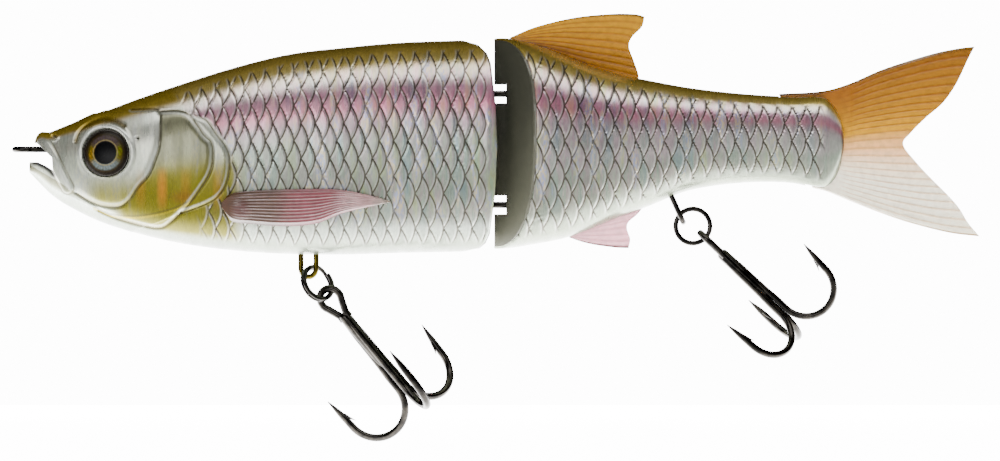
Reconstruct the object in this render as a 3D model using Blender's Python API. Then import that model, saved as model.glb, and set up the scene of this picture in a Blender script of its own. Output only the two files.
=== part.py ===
"""A two-section jointed swimbait with a soft tail and two treble hooks.

Frame, in metres: the origin is the centre of the line tie's hole, +X runs to the tail, +Z is up
and the fish's left side faces -Y. Sizes in this file are millimetres unless a name says otherwise.
"""

import math

import bmesh
import bpy
from mathutils import Matrix, Vector

MM = 0.001

# Body outline: X, back height, belly height, half width.
FRONT_OUTLINE = (
    (1.1, -2.6, -4.3, 1.3),
    (2.5, 2.6, -5.8, 2.5),
    (5.0, 3.3, -8.3, 4.3),
    (8.0, 4.5, -10.4, 6.2),
    (14.5, 6.9, -13.6, 8.5),
    (22.0, 9.7, -15.9, 10.2),
    (30.0, 12.4, -17.7, 11.2),
    (40.0, 15.5, -19.0, 12.0),
    (50.0, 17.9, -19.6, 12.6),
    (60.0, 19.1, -19.7, 12.9),
    (70.0, 20.0, -19.4, 13.0),
    (80.0, 20.4, -19.2, 12.9),
    (92.0, 20.6, -18.8, 12.9),
)
REAR_OUTLINE = (
    (86.0, 20.7, -18.7, 12.9),
    (91.0, 20.8, -18.5, 12.9),
    (96.0, 19.6, -17.7, 12.8),
    (101.5, 17.6, -16.6, 12.1),
    (106.5, 15.6, -14.8, 11.1),
    (111.5, 14.1, -12.7, 10.1),
    (117.0, 13.0, -10.7, 9.0),
    (124.0, 11.7, -7.9, 7.7),
    (131.0, 10.8, -6.6, 6.6),
    (138.0, 10.2, -6.1, 5.6),
    (144.0, 9.9, -6.3, 4.9),
    (150.0, 9.9, -7.3, 4.3),
    (151.8, 8.3, -6.1, 4.0),
    (153.1, 5.8, -3.4, 3.5),
    (153.7, 3.0, -0.4, 2.9),
)
WIDEST_LIFT = ((0.0, 0.05), (40.0, 0.2), (100.0, 0.2), (130.0, 0.1), (155.0, 0.05))
FULLNESS = ((0.0, 2.2), (30.0, 2.7), (100.0, 2.7), (130.0, 2.4), (155.0, 2.4))
SECTION_STEPS = 14
STATION_PITCH = 4.0
SEAM_GAP = 0.3
WORK_GAP = 0.3
WIRE_GAP = 0.15

# Hinge between the two body sections.
HINGE_X = 92.1
HINGE_EYE_HEIGHTS = (10.4, -10.4)
HINGE_PIN_RADIUS = 0.75
HINGE_PIN_ENDS = (-18.1, 14.0)
HINGE_EYE_RADIUS = 1.65
HINGE_WIRE_RADIUS = 0.5
HINGE_EYE_ANCHOR_X = 82.0
FRONT_FACE_X = 88.8
FRONT_FACE_BULGE = 1.4
GROOVE_RADIUS = 4.9
NOSE_X = 87.8
NOSE_SLOPE = 0.62
POCKET_HALF_WIDTH = 4.0
POCKET_HALF_HEIGHT = 1.75
POCKET_END_X = 94.8

# Line tie.
TIE_RADIUS = 1.65
TIE_WIRE_RADIUS = 0.55
TIE_LEG = ((2.3, 0.85), (9.2, 0.85), (10.2, 1.1), (10.6, 2.3))
TIE_CHANNEL = ((2.0, 1.55), (9.0, 1.55), (9.0, 2.9), (11.4, 2.9))

# Eyes.
EYE_CENTRE = (15.4, -0.6)
EYE_SOCKET_RADIUS = 4.45
EYE_TOE_DEGREES = 14.0
EYE_TILT_DEGREES = 5.0

# Fins.
FIN_THICKNESS = 1.2
PECTORAL_TOP = (
    (37.3, -9.9), (39.2, -8.3), (44.7, -7.7), (51.3, -7.5), (58.0, -7.5), (63.5, -8.3), (68.8, -9.7),
)
PECTORAL_BOTTOM = (
    (37.3, -10.9), (39.2, -13.4), (43.1, -14.0), (49.1, -14.4), (55.0, -13.9), (60.2, -11.9), (68.8, -9.9),
)
PECTORAL_ROOT_DEPTH = 1.2
PECTORAL_TIP_DEPTH = 0.6
PECTORAL_BOSS = (41.0, -11.5)
PECTORAL_BOSS_RADIUS = 2.3
PECTORAL_BOSS_HEIGHT = 2.0
PECTORAL_PEG_RADIUS = 1.2
PECTORAL_PEG_LENGTH = 2.8
DORSAL_OUTLINE = (
    (91.2, 20.2), (91.2, 21.1), (96.1, 23.0), (103.2, 24.7), (110.2, 25.4), (115.9, 25.1), (116.6, 24.5),
    (115.9, 23.0), (113.9, 20.8), (113.5, 19.2), (114.4, 16.6), (115.4, 13.6), (113.6, 11.6), (94.0, 17.3),
)
DORSAL_SLOT = ((90.9, 24.0), (115.9, 18.0), (115.9, 13.3), (113.8, 11.2), (93.8, 16.9), (90.9, 19.9))
ANAL_OUTLINE = (
    (102.6, -15.8), (103.0, -16.6), (107.2, -17.9), (113.2, -18.6), (113.7, -18.1), (113.7, -16.5),
    (113.0, -14.5), (113.6, -13.1), (115.8, -11.2), (114.3, -9.2), (104.2, -13.2),
)
ANAL_SLOT = ((102.2, -20.0), (116.2, -16.0), (116.2, -10.9), (114.5, -8.8), (104.0, -12.9), (102.2, -15.8))

# Tail.
TAIL_AXIS_X = 155.0
TAIL_HALF_THICKNESS = 1.2
TAIL_TIP_HALF_THICKNESS = 0.45
TAIL_ROOT_OUTLINE = (
    (141.6, 10.3), (149.8, 10.8), (155.0, 12.4), (155.0, -9.7), (150.2, -7.5), (147.9, -7.1),
)
TAIL_SLOT = ((140.6, 13.0), (147.6, -10.0), (160.0, -10.0), (160.0, 13.0))
TAIL_BLADE_OUTLINE = (
    (155.0, 12.4), (161.3, 15.1), (169.9, 17.8), (177.7, 19.25), (177.1, 17.5), (174.9, 12.4), (172.4, 8.8),
    (169.2, 6.0), (166.3, 3.1), (164.8, 1.1), (167.4, -2.5), (169.9, -5.2), (173.1, -8.4), (175.3, -10.9),
    (177.1, -13.8), (179.4, -16.2), (173.5, -15.6), (166.3, -13.8), (160.9, -12.0), (155.0, -9.7),
)
TAIL_PIN = (147.6, 3.0)
TAIL_PIN_RADIUS = 1.0
TAIL_PIN_HALF_LENGTH = 3.1

# Hook hangers, split rings and treble hooks.
HANGER_WIRE_RADIUS = 0.5
HANGER_RADIUS = 1.7
FRONT_HANGER_X = 53.4
FRONT_HANGER_ENDS = (-13.5, -23.9)
FRONT_HANGER_TURN_DEGREES = 32.0
REAR_HANGER_BOTTOM = (123.65, -13.65)
REAR_HANGER_LENGTH = 10.0
REAR_HANGER_LEAN_DEGREES = 24.4
RING_MEAN_RADIUS = 3.22
RING_WIRE_RADIAL = 0.4
RING_WIRE_AXIAL = 0.27
RING_TURNS = 1.9
RING_COIL_PITCH = 0.6
RING_STEP_START = 0.88
RING_STEP_TURNS = 0.14
FRONT_RING_CENTRE = (55.1, -0.3, -25.1)
FRONT_RING_CHAIN = (0.545, -0.839)
FRONT_RING_TURN_DEGREES = 45.0
FRONT_EYE_TOP = (56.23, 0.03, -26.46)
FRONT_EYE_TURN_DEGREES = 24.0
FRONT_SHANK = (0.634, -0.773)
REAR_CHAIN = (0.93, -0.37)
REAR_LINK_REACH = 1.95
REAR_SHANK = (0.725, -0.688)
HOOK_WIRE_RADIUS = 0.7
HOOK_SHANK_RADIUS = 1.15
HOOK_EYE_HALF_WIDTH = 2.1
HOOK_EYE_LENGTH = 5.8
HOOK_BEND_RADIUS = 5.9
HOOK_BEND_CENTRE = (6.85, 17.2)
HOOK_POINT = (13.4, 10.8)
FRONT_PRONG_ANGLES = (19.0, 139.0, 259.0)
REAR_PRONG_ANGLES = (77.0, 197.0, 317.0)
REAR_HOOK_SCALE = 0.925

# Hollows: X start, X end, floor height, and the insets from back, belly and sides.
FRONT_HOLLOW = (24.0, 78.0, -8.5, (2.4, 2.4, 2.2))
REAR_HOLLOW = (98.5, 114.0, -3.8, (5.6, 2.4, 2.4))

# Mouth: side view of the wedge cut through the snout.
MOUTH = ((-3.0, 1.3), (2.5, 1.2), (5.4, -1.5), (5.6, -4.1), (4.1, -3.1), (2.6, -2.4), (-3.0, -2.4))
MOUTH_HALF_WIDTH = 9.0

# Ballast: X start, X end, height, radius.
FRONT_BALLAST = ((29.5, 37.5, -12.9, 2.8), (39.5, 47.5, -13.4, 2.8))
REAR_BALLAST = (98.6, 105.6, -7.9, 2.2)


def clear_scene():
    """Remove every object that the scene starts with."""
    for item in list(bpy.data.objects):
        bpy.data.objects.remove(item, do_unlink=True)


def make_material(name, colour, roughness, metallic=0.0, transmission=0.0):
    """A plain material with one colour."""
    material = bpy.data.materials.new(name)
    material.use_nodes = True
    shader = material.node_tree.nodes["Principled BSDF"]
    shader.inputs["Base Color"].default_value = (*colour, 1.0)
    shader.inputs["Roughness"].default_value = roughness
    shader.inputs["Metallic"].default_value = metallic
    shader.inputs["Transmission Weight"].default_value = transmission
    material.diffuse_color = (*colour, 1.0)
    return material


def table_value(table, x):
    """A value read from an (x, value) table with straight lines between its rows."""
    if x <= table[0][0]:
        return table[0][1]
    for (x0, v0), (x1, v1) in zip(table, table[1:]):
        if x <= x1:
            return v0 + (v1 - v0) * (x - x0) / (x1 - x0)
    return table[-1][1]


def outline_value(outline, column, x):
    """One column of a body outline at x, on a smooth curve through its rows."""
    rows = [(row[0], row[column]) for row in outline]
    if x <= rows[0][0]:
        return rows[0][1]
    if x >= rows[-1][0]:
        return rows[-1][1]
    place = next(i for i in range(len(rows) - 1) if x <= rows[i + 1][0])
    (x0, v0), (x1, v1) = rows[place], rows[place + 1]
    chord = (v1 - v0) / (x1 - x0)
    slope0 = chord
    slope1 = chord
    if place > 0:
        slope0 = (v1 - rows[place - 1][1]) / (x1 - rows[place - 1][0])
    if place < len(rows) - 2:
        slope1 = (rows[place + 2][1] - v0) / (rows[place + 2][0] - x0)
    span = x1 - x0
    t = (x - x0) / span
    blend = t * t * (3.0 - 2.0 * t)
    bend0 = t * (1.0 - t) ** 2 * span * slope0
    bend1 = t * t * (t - 1.0) * span * slope1
    return v0 + (v1 - v0) * blend + bend0 + bend1


def section_at(outline, x, inset=(0.0, 0.0, 0.0)):
    """Back, belly, half width, widest height and fullness of the body at x, drawn in by inset."""
    top = outline_value(outline, 1, x)
    bottom = outline_value(outline, 2, x)
    half_width = outline_value(outline, 3, x)
    middle = 0.5 * (top + bottom)
    widest = middle + table_value(WIDEST_LIFT, x) * 0.5 * (top - bottom)
    return top - inset[0], bottom + inset[1], half_width - inset[2], widest, table_value(FULLNESS, x)


def section_points(section, steps):
    """Points (y, z) on one side of a section, from the back to the belly."""
    top, bottom, half_width, widest, fullness = section
    points = []
    for step in range(steps + 1):
        angle = math.pi * step / steps
        reach = abs(math.cos(angle)) ** (2.0 / fullness)
        height = top - widest if step * 2 <= steps else bottom - widest
        points.append((half_width * math.sin(angle) ** (2.0 / fullness), widest + reach * height))
    return points


def body_half_width(outline, x, z):
    """Distance from the middle plane to the body's side at (x, z)."""
    top, bottom, half_width, widest, fullness = section_at(outline, x)
    height = top - widest if z > widest else widest - bottom
    share = min(abs(z - widest) / height, 0.999)
    return half_width * (1.0 - share**fullness) ** (1.0 / fullness)


def stations(outline, start, end):
    """X positions of the sections of one loft: the outline's own rows and the steps between them."""
    rows = [row[0] for row in outline if start < row[0] < end]
    marks = [start, *rows, end]
    places = [marks[0]]
    for low, high in zip(marks, marks[1:]):
        count = max(1, round((high - low) / STATION_PITCH))
        places += [low + (high - low) * step / count for step in range(1, count + 1)]
    return places


def object_from_mesh(name, mesh_data, material=None):
    """Make an object from a bmesh whose units are millimetres."""
    bmesh.ops.scale(mesh_data, vec=(MM, MM, MM), verts=mesh_data.verts)
    bmesh.ops.recalc_face_normals(mesh_data, faces=mesh_data.faces)
    mesh = bpy.data.meshes.new(name)
    mesh_data.to_mesh(mesh)
    mesh_data.free()
    item = bpy.data.objects.new(name, mesh)
    bpy.context.scene.collection.objects.link(item)
    if material:
        mesh.materials.append(material)
    return item


def as_cutter(item):
    """Mark an object as a tool that only cuts or joins others."""
    item.hide_render = True
    item.display_type = "WIRE"
    return item


def combine(target, tool, operation="DIFFERENCE"):
    """Add one Boolean to the target."""
    modifier = target.modifiers.new(tool.name, "BOOLEAN")
    modifier.operation = operation
    modifier.solver = "EXACT"
    modifier.object = tool
    as_cutter(tool)


def shade_smooth(item):
    """Smooth shading for a round piece."""
    for polygon in item.data.polygons:
        polygon.use_smooth = True


def loft_mesh(rings):
    """A closed mesh through rings that all have the same number of points."""
    mesh_data = bmesh.new()
    rows = [[mesh_data.verts.new(point) for point in ring] for ring in rings]
    count = len(rows[0])
    for near, far in zip(rows, rows[1:]):
        for place in range(count):
            after = (place + 1) % count
            mesh_data.faces.new((near[place], near[after], far[after], far[place]))
    mesh_data.faces.new(rows[0])
    mesh_data.faces.new(tuple(reversed(rows[-1])))
    return mesh_data


def half_body(name, outline, side, material):
    """One half of a body section, cut flat at the seam. side is -1 for left and +1 for right."""
    rings = []
    for x in stations(outline, outline[0][0], outline[-1][0]):
        points = section_points(section_at(outline, x), SECTION_STEPS)
        rings.append([(x, side * max(y, 0.5 * SEAM_GAP), z) for y, z in points])
    return object_from_mesh(name, loft_mesh(rings), material)


def cavity(name, outline, hollow):
    """The hollow inside a section, with a flat floor."""
    start, end, floor, inset = hollow
    rings = []
    for x in stations(outline, start, end):
        top, bottom, half_width, widest, fullness = section_at(outline, x, inset)
        section = (top, max(bottom, floor), half_width, widest, fullness)
        points = section_points(section, 8)
        right = [(x, y, z) for y, z in points]
        left = [(x, -y, z) for y, z in reversed(points[1:-1])]
        rings.append(right + left)
    return object_from_mesh(name, loft_mesh(rings))


def prism(name, outline, axis, low, high, material=None, low_share=None):
    """A flat outline pulled along an axis. axis "Y" takes (x, z) points and axis "Z" takes (x, y)."""
    def place(point, level):
        if axis == "Y":
            return (point[0], level, point[1])
        return (point[0], point[1], level)

    levels = (low, high)
    if low_share:
        rings = [[place(p, level * low_share(p[0])) for p in outline] for level in levels]
    else:
        rings = [[place(p, level) for p in outline] for level in levels]
    return object_from_mesh(name, loft_mesh(rings), material)


def cylinder(name, start, end, radius, material=None, segments=20):
    """A round bar between two points."""
    start = Vector(start)
    end = Vector(end)
    turn = (end - start).to_track_quat("Z", "Y").to_matrix()
    rings = []
    for centre in (start, end):
        ring = []
        for step in range(segments):
            angle = 2.0 * math.pi * step / segments
            ring.append(centre + turn @ Vector((radius * math.cos(angle), radius * math.sin(angle), 0.0)))
        rings.append(ring)
    return object_from_mesh(name, loft_mesh(rings), material)


def sweep_mesh(points, radius, sides=8, closed=False, first_normal=None):
    """A tube along points. radius is a number, a list, or a list of (normal, binormal) half sizes."""
    points = [Vector(point) for point in points]
    count = len(points)
    sizes = radius if isinstance(radius, list) else [radius] * count
    tangents = []
    for place in range(count):
        before = points[(place - 1) % count] if closed or place else points[0]
        after = points[(place + 1) % count] if closed or place < count - 1 else points[-1]
        tangents.append((after - before).normalized())
    normal = Vector(first_normal) if first_normal else tangents[0].orthogonal()
    rings = []
    for point, tangent, size in zip(points, tangents, sizes):
        normal = (normal - tangent * normal.dot(tangent)).normalized()
        binormal = tangent.cross(normal)
        wide, tall = size if isinstance(size, tuple) else (size, size)
        ring = []
        for step in range(sides):
            angle = 2.0 * math.pi * (step + 0.5) / sides
            ring.append(point + normal * (wide * math.cos(angle)) + binormal * (tall * math.sin(angle)))
        rings.append(ring)
    if not closed:
        return loft_mesh(rings)
    mesh_data = bmesh.new()
    rows = [[mesh_data.verts.new(point) for point in ring] for ring in rings]
    for near, far in zip(rows, rows[1:] + rows[:1]):
        for place in range(sides):
            after = (place + 1) % sides
            mesh_data.faces.new((near[place], near[after], far[after], far[place]))
    return mesh_data


def loop_path(centre, out, side, radius, length, steps=10):
    """A closed loop: half a turn about centre toward out, then two legs back to a cross bar."""
    centre = Vector(centre)
    out = Vector(out)
    side = Vector(side)
    path = []
    for step in range(steps + 1):
        angle = math.pi * step / steps - 0.5 * math.pi
        path.append(centre + out * (radius * math.cos(angle)) + side * (radius * math.sin(angle)))
    corner = radius - 0.5
    path.append(centre - out * (length - 0.8) + side * radius)
    path.append(centre - out * length + side * corner)
    path.append(centre - out * length - side * corner)
    path.append(centre - out * (length - 0.8) - side * radius)
    return path


def wire_loop(name, path, normal, radius, material=None, sides=8):
    """A closed loop of round wire that lies in the plane square to normal."""
    item = object_from_mesh(name, sweep_mesh(path, radius, sides, True, normal), material)
    shade_smooth(item)
    return item


def chain_frame(direction):
    """Unit vectors in space for a chain direction (x, z): along it, and square to it in the XZ plane."""
    along = Vector((direction[0], 0.0, direction[1])).normalized()
    across = Vector((along.z, 0.0, -along.x))
    return along, across


def split_ring(name, centre, axis, material):
    """A ring of two flat coils about an axis, joined where the wire steps from one to the other."""
    axis = Vector(axis).normalized()
    first = axis.orthogonal().normalized()
    second = axis.cross(first)
    steps = 44
    path = []
    for step in range(steps + 1):
        turn = RING_TURNS * step / steps
        angle = 2.0 * math.pi * turn
        crossing = min(max((turn - RING_STEP_START) / RING_STEP_TURNS, 0.0), 1.0)
        rise = (crossing - 0.5) * RING_COIL_PITCH
        around = first * math.cos(angle) + second * math.sin(angle)
        path.append(Vector(centre) + around * RING_MEAN_RADIUS + axis * rise)
    size = (RING_WIRE_AXIAL, RING_WIRE_RADIAL)
    item = object_from_mesh(name, sweep_mesh(path, [size] * len(path), 6, False, axis), material)
    shade_smooth(item)
    return item


def prong_rows():
    """One prong in the hook's own plane as rows of (outward, along, wire radius), from shank to point."""
    wire = HOOK_WIRE_RADIUS
    out, along = HOOK_BEND_CENTRE
    rows = [(0.55, 1.1, wire * 0.9), (0.7, 8.0, wire), (out - HOOK_BEND_RADIUS, 14.5, wire)]
    for step in range(11):
        angle = math.pi * (1.0 - step / 10)
        turned_out = out + HOOK_BEND_RADIUS * math.cos(angle)
        turned_along = along + HOOK_BEND_RADIUS * math.sin(angle)
        rows.append((turned_out, turned_along, wire))
    rows.append((out + HOOK_BEND_RADIUS + 0.2, along - 3.2, wire * 0.85))
    rows.append((*HOOK_POINT, 0.12))
    return rows


def eye_rows():
    """The hook's eye in its own plane as rows of (sideways, along), from one leg round to the other."""
    half = HOOK_EYE_HALF_WIDTH
    rows = [(-0.74, HOOK_EYE_LENGTH + 1.0), (-0.76, HOOK_EYE_LENGTH - 0.2)]
    for step in range(13):
        angle = math.radians(-125.0 + 250.0 * step / 12)
        rows.append((half * math.sin(angle), half - half * math.cos(angle)))
    rows += [(0.76, HOOK_EYE_LENGTH - 0.2), (0.74, HOOK_EYE_LENGTH + 1.0)]
    return rows


def treble_hook(name, eye_top, along, eye_side, zero_side, prong_angles, scale, material):
    """Eye, shank and three prongs joined in one piece. eye_top is the middle of the eye's top wire."""
    eye_top = Vector(eye_top)
    join = eye_top + along * (HOOK_EYE_LENGTH * scale)
    path = [eye_top + eye_side * (side * scale) + along * (way * scale) for side, way in eye_rows()]
    shank_rows = ((-0.3, 0.8), (0.4, 1.0), (10.0, 1.0), (13.0, 0.75))
    shank_path = [join + along * (way * scale) for way, _ in shank_rows]
    shank_sizes = [HOOK_SHANK_RADIUS * size * scale for _, size in shank_rows]
    hook = object_from_mesh(name, sweep_mesh(shank_path, shank_sizes, 10), material)
    eye_mesh = sweep_mesh(path, HOOK_WIRE_RADIUS * scale, 8, False, along.cross(eye_side))
    combine(hook, object_from_mesh(name + "_eye_tool", eye_mesh), "UNION")
    third_side = along.cross(zero_side)
    for number, degrees in enumerate(prong_angles):
        angle = math.radians(degrees)
        outward = zero_side * math.cos(angle) + third_side * math.sin(angle)
        rows = prong_rows()
        path = [join + outward * (out * scale) + along * (way * scale) for out, way, _ in rows]
        sizes = [size * scale for _, _, size in rows]
        tool = object_from_mesh(f"{name}_prong_tool_{number}", sweep_mesh(path, sizes, 7, False, outward))
        combine(hook, tool, "UNION")
    shade_smooth(hook)
    return hook


def turned_piece(name, profile, origin, axis, material, segments=18):
    """A closed round solid from (radius, height) rows along an axis. It starts and ends on the axis."""
    turn = Vector(axis).to_track_quat("Z", "Y").to_matrix()
    origin = Vector(origin)
    mesh_data = bmesh.new()
    rows = []
    for radius, height in profile:
        if radius == 0.0:
            rows.append([mesh_data.verts.new(origin + turn @ Vector((0.0, 0.0, height)))])
            continue
        ring = []
        for step in range(segments):
            angle = 2.0 * math.pi * step / segments
            spot = Vector((radius * math.cos(angle), radius * math.sin(angle), height))
            ring.append(mesh_data.verts.new(origin + turn @ spot))
        rows.append(ring)
    for near, far in zip(rows, rows[1:]):
        for place in range(segments):
            after = (place + 1) % segments
            if len(near) == 1:
                mesh_data.faces.new((near[0], far[after], far[place]))
            elif len(far) == 1:
                mesh_data.faces.new((near[place], near[after], far[0]))
            else:
                mesh_data.faces.new((near[place], near[after], far[after], far[place]))
    item = object_from_mesh(name, mesh_data, material)
    shade_smooth(item)
    return item


def eye_frame(side):
    """Centre of an eye on the body's side, and the direction that it faces."""
    toe = math.radians(EYE_TOE_DEGREES)
    tilt = math.radians(EYE_TILT_DEGREES)
    x, z = EYE_CENTRE
    centre = Vector((x, side * body_half_width(FRONT_OUTLINE, x, z), z))
    facing = Vector((-math.sin(toe), side * math.cos(toe) * math.cos(tilt), math.sin(tilt)))
    return centre, facing.normalized()


def front_shell_tools(wires):
    """Everything that is cut from both halves of the front section."""
    tools = list(wires)
    tools.append(prism("mouth_tool", MOUTH, "Y", -MOUTH_HALF_WIDTH, MOUTH_HALF_WIDTH))
    tools.append(cavity("front_cavity_tool", FRONT_OUTLINE, FRONT_HOLLOW))
    for number, (start, end, height, radius) in enumerate(FRONT_BALLAST):
        low = (start - WORK_GAP, 0.0, height)
        high = (end + WORK_GAP, 0.0, height)
        tools.append(cylinder(f"front_ballast_tool_{number}", low, high, radius + WORK_GAP))
    groove_low = (HINGE_X, 0.0, -25.0)
    groove_high = (HINGE_X, 0.0, 25.0)
    tools.append(cylinder("hinge_groove_tool", groove_low, groove_high, GROOVE_RADIUS, segments=36))
    return tools


def rear_edge_outline():
    """Side view of the front section's end: square to the body, slightly full, with round corners."""
    points = [(-5.0, 30.0), (81.8, 30.0), (81.8, 20.6), (85.5, 19.5), (86.9, 17.9)]
    for step in range(7):
        height = 16.5 - 32.5 * step / 6
        bulge = FRONT_FACE_BULGE * (1.0 - (height - 0.25) ** 2 / 16.25**2)
        points.append((FRONT_FACE_X - FRONT_FACE_BULGE + bulge, height))
    points += [(86.6, -17.6), (85.5, -18.6), (81.8, -19.3), (81.8, -30.0), (-5.0, -30.0)]
    return points


def build_front_shells(material, wires):
    """Left and right halves of the front section."""
    tools = front_shell_tools(wires)
    edge = prism("front_end_tool", rear_edge_outline(), "Y", -20.0, 20.0)
    for name, side in (("front_shell_left", -1), ("front_shell_right", 1)):
        shell = half_body(name, FRONT_OUTLINE, side, material)
        combine(shell, edge, "INTERSECT")
        for tool in tools:
            combine(shell, tool)
        centre, facing = eye_frame(side)
        socket = cylinder(f"{name}_eye_tool", centre - facing * 1.9, centre + facing * 4.0,
                          EYE_SOCKET_RADIUS, segments=24)
        combine(shell, socket)
        x, z = PECTORAL_BOSS
        depth = body_half_width(FRONT_OUTLINE, x, z)
        peg = cylinder(f"{name}_peg_tool", (x, side * (depth - 3.2), z), (x, side * (depth + 3.0), z),
                       PECTORAL_PEG_RADIUS + WORK_GAP, segments=14)
        combine(shell, peg)


def rear_shell_tools(wires):
    """Everything that is cut from both halves of the rear section."""
    tools = list(wires)
    pin_low = (HINGE_X, 0.0, -25.0)
    pin_high = (HINGE_X, 0.0, HINGE_PIN_ENDS[1] + WORK_GAP)
    tools.append(cylinder("hinge_pin_tool", pin_low, pin_high, HINGE_PIN_RADIUS + WIRE_GAP, segments=16))
    wide = POCKET_HALF_WIDTH
    for number, height in enumerate(HINGE_EYE_HEIGHTS):
        floor = ((80.0, -wide), (POCKET_END_X, -wide), (POCKET_END_X, wide), (80.0, wide))
        tools.append(prism(f"hinge_pocket_tool_{number}", floor, "Z",
                           height - POCKET_HALF_HEIGHT, height + POCKET_HALF_HEIGHT))
    fin_half = 0.5 * FIN_THICKNESS + WORK_GAP
    tools.append(prism("dorsal_slot_tool", DORSAL_SLOT, "Y", -fin_half, fin_half))
    tools.append(prism("anal_slot_tool", ANAL_SLOT, "Y", -fin_half, fin_half))
    slot_half = TAIL_HALF_THICKNESS + WORK_GAP
    tools.append(prism("tail_slot_tool", TAIL_SLOT, "Y", -slot_half, slot_half))
    x, z = TAIL_PIN
    reach = TAIL_PIN_HALF_LENGTH + WORK_GAP
    pin_radius = TAIL_PIN_RADIUS + WIRE_GAP
    tools.append(cylinder("tail_pin_tool", (x, -reach, z), (x, reach, z), pin_radius, segments=14))
    tools.append(cavity("rear_cavity_tool", REAR_OUTLINE, REAR_HOLLOW))
    start, end, height, radius = REAR_BALLAST
    low = (start - WORK_GAP, 0.0, height)
    high = (end + WORK_GAP, 0.0, height)
    tools.append(cylinder("rear_ballast_tool", low, high, radius + WORK_GAP))
    return tools


def build_rear_shells(material, wires):
    """Left and right halves of the rear section, with the V-shaped nose."""
    tools = rear_shell_tools(wires)
    wide = 14.0
    flank_x = NOSE_X + NOSE_SLOPE * wide
    plan = ((NOSE_X + 0.25, 0.4), (flank_x, wide), (170.0, wide), (170.0, -wide), (flank_x, -wide),
            (NOSE_X + 0.25, -0.4))
    nose = prism("rear_nose_tool", plan, "Z", -30.0, 30.0)
    for name, side in (("rear_shell_left", -1), ("rear_shell_right", 1)):
        shell = half_body(name, REAR_OUTLINE, side, material)
        combine(shell, nose, "INTERSECT")
        for tool in tools:
            combine(shell, tool)


def build_line_tie(material):
    """Wire eye at the nose with two legs and turned-out feet, and the tool for its channel."""
    path = [(x, y, 0.0) for x, y in reversed(TIE_LEG)]
    for step in range(15):
        angle = math.radians(40.0 + 280.0 * step / 14)
        path.append((TIE_RADIUS * math.cos(angle), TIE_RADIUS * math.sin(angle), 0.0))
    path += [(x, -y, 0.0) for x, y in TIE_LEG]
    tie = object_from_mesh("line_tie", sweep_mesh(path, TIE_WIRE_RADIUS, 8, False, (0, 0, 1)), material)
    shade_smooth(tie)
    channel = [*TIE_CHANNEL, *((x, -y) for x, y in reversed(TIE_CHANNEL))]
    deep = TIE_WIRE_RADIUS + WIRE_GAP
    return prism("line_tie_tool", channel, "Z", -deep, deep)


def build_hinge_eyes(material):
    """Two horizontal wire loops that leave the front section, and the tools for their channels."""
    tools = []
    length = HINGE_X - HINGE_EYE_ANCHOR_X
    for name, height in zip(("upper_hinge_eye", "lower_hinge_eye"), HINGE_EYE_HEIGHTS):
        path = loop_path((HINGE_X, 0, height), (1, 0, 0), (0, 1, 0), HINGE_EYE_RADIUS, length)
        wire_loop(name, path, (0, 0, 1), HINGE_WIRE_RADIUS, material)
        tools.append(wire_loop(name + "_tool", path, (0, 0, 1), HINGE_WIRE_RADIUS + WIRE_GAP))
    return tools


def build_hinge_pin(material):
    """The vertical pin that both hinge eyes turn on."""
    low, high = HINGE_PIN_ENDS
    pin = cylinder("hinge_pin", (HINGE_X, 0, low), (HINGE_X, 0, high), HINGE_PIN_RADIUS, material, 16)
    shade_smooth(pin)


def build_front_hanger(material):
    """Wire loop under the front section, a little turned from the seam, and the tool for its channel."""
    turn = math.radians(FRONT_HANGER_TURN_DEGREES)
    side = Vector((math.cos(turn), -math.sin(turn), 0))
    top, bottom = FRONT_HANGER_ENDS
    centre = (FRONT_HANGER_X, 0, bottom + HANGER_RADIUS)
    path = loop_path(centre, (0, 0, -1), side, HANGER_RADIUS, top - centre[2])
    normal = side.cross(Vector((0, 0, 1)))
    wire_loop("front_hook_hanger", path, normal, HANGER_WIRE_RADIUS, material)
    return wire_loop("front_hanger_tool", path, normal, HANGER_WIRE_RADIUS + WIRE_GAP)


def build_rear_hanger(material):
    """Wire loop under the rear section, turned across the body, and the tool for its channel."""
    lean = math.radians(REAR_HANGER_LEAN_DEGREES)
    out = Vector((math.sin(lean), 0, -math.cos(lean)))
    bottom = Vector((REAR_HANGER_BOTTOM[0], 0, REAR_HANGER_BOTTOM[1]))
    centre = bottom - out * HANGER_RADIUS
    length = REAR_HANGER_LENGTH - HANGER_RADIUS
    path = loop_path(centre, out, (0, 1, 0), HANGER_RADIUS, length)
    normal = out.cross(Vector((0, 1, 0)))
    wire_loop("rear_hook_hanger", path, normal, HANGER_WIRE_RADIUS, material)
    return wire_loop("rear_hanger_tool", path, normal, HANGER_WIRE_RADIUS + WIRE_GAP)


def build_eyes(foil, clear):
    """A foil disc and a clear dome in each eye socket."""
    for name, side in (("left", -1), ("right", 1)):
        centre, facing = eye_frame(side)
        disc = ((0.0, -1.6), (4.15, -1.6), (4.15, -1.25), (0.0, -1.25))
        turned_piece(f"{name}_eye_iris", disc, centre, facing, foil, 20)
        dome = [(0.0, -1.1), (4.2, -1.1), (4.2, 0.0)]
        for step in range(1, 5):
            angle = 0.5 * math.pi * step / 4
            dome.append((4.2 * math.cos(angle) if step < 4 else 0.0, 1.25 * math.sin(angle)))
        turned_piece(f"{name}_eye_lens", dome, centre, facing, clear, 20)


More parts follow.
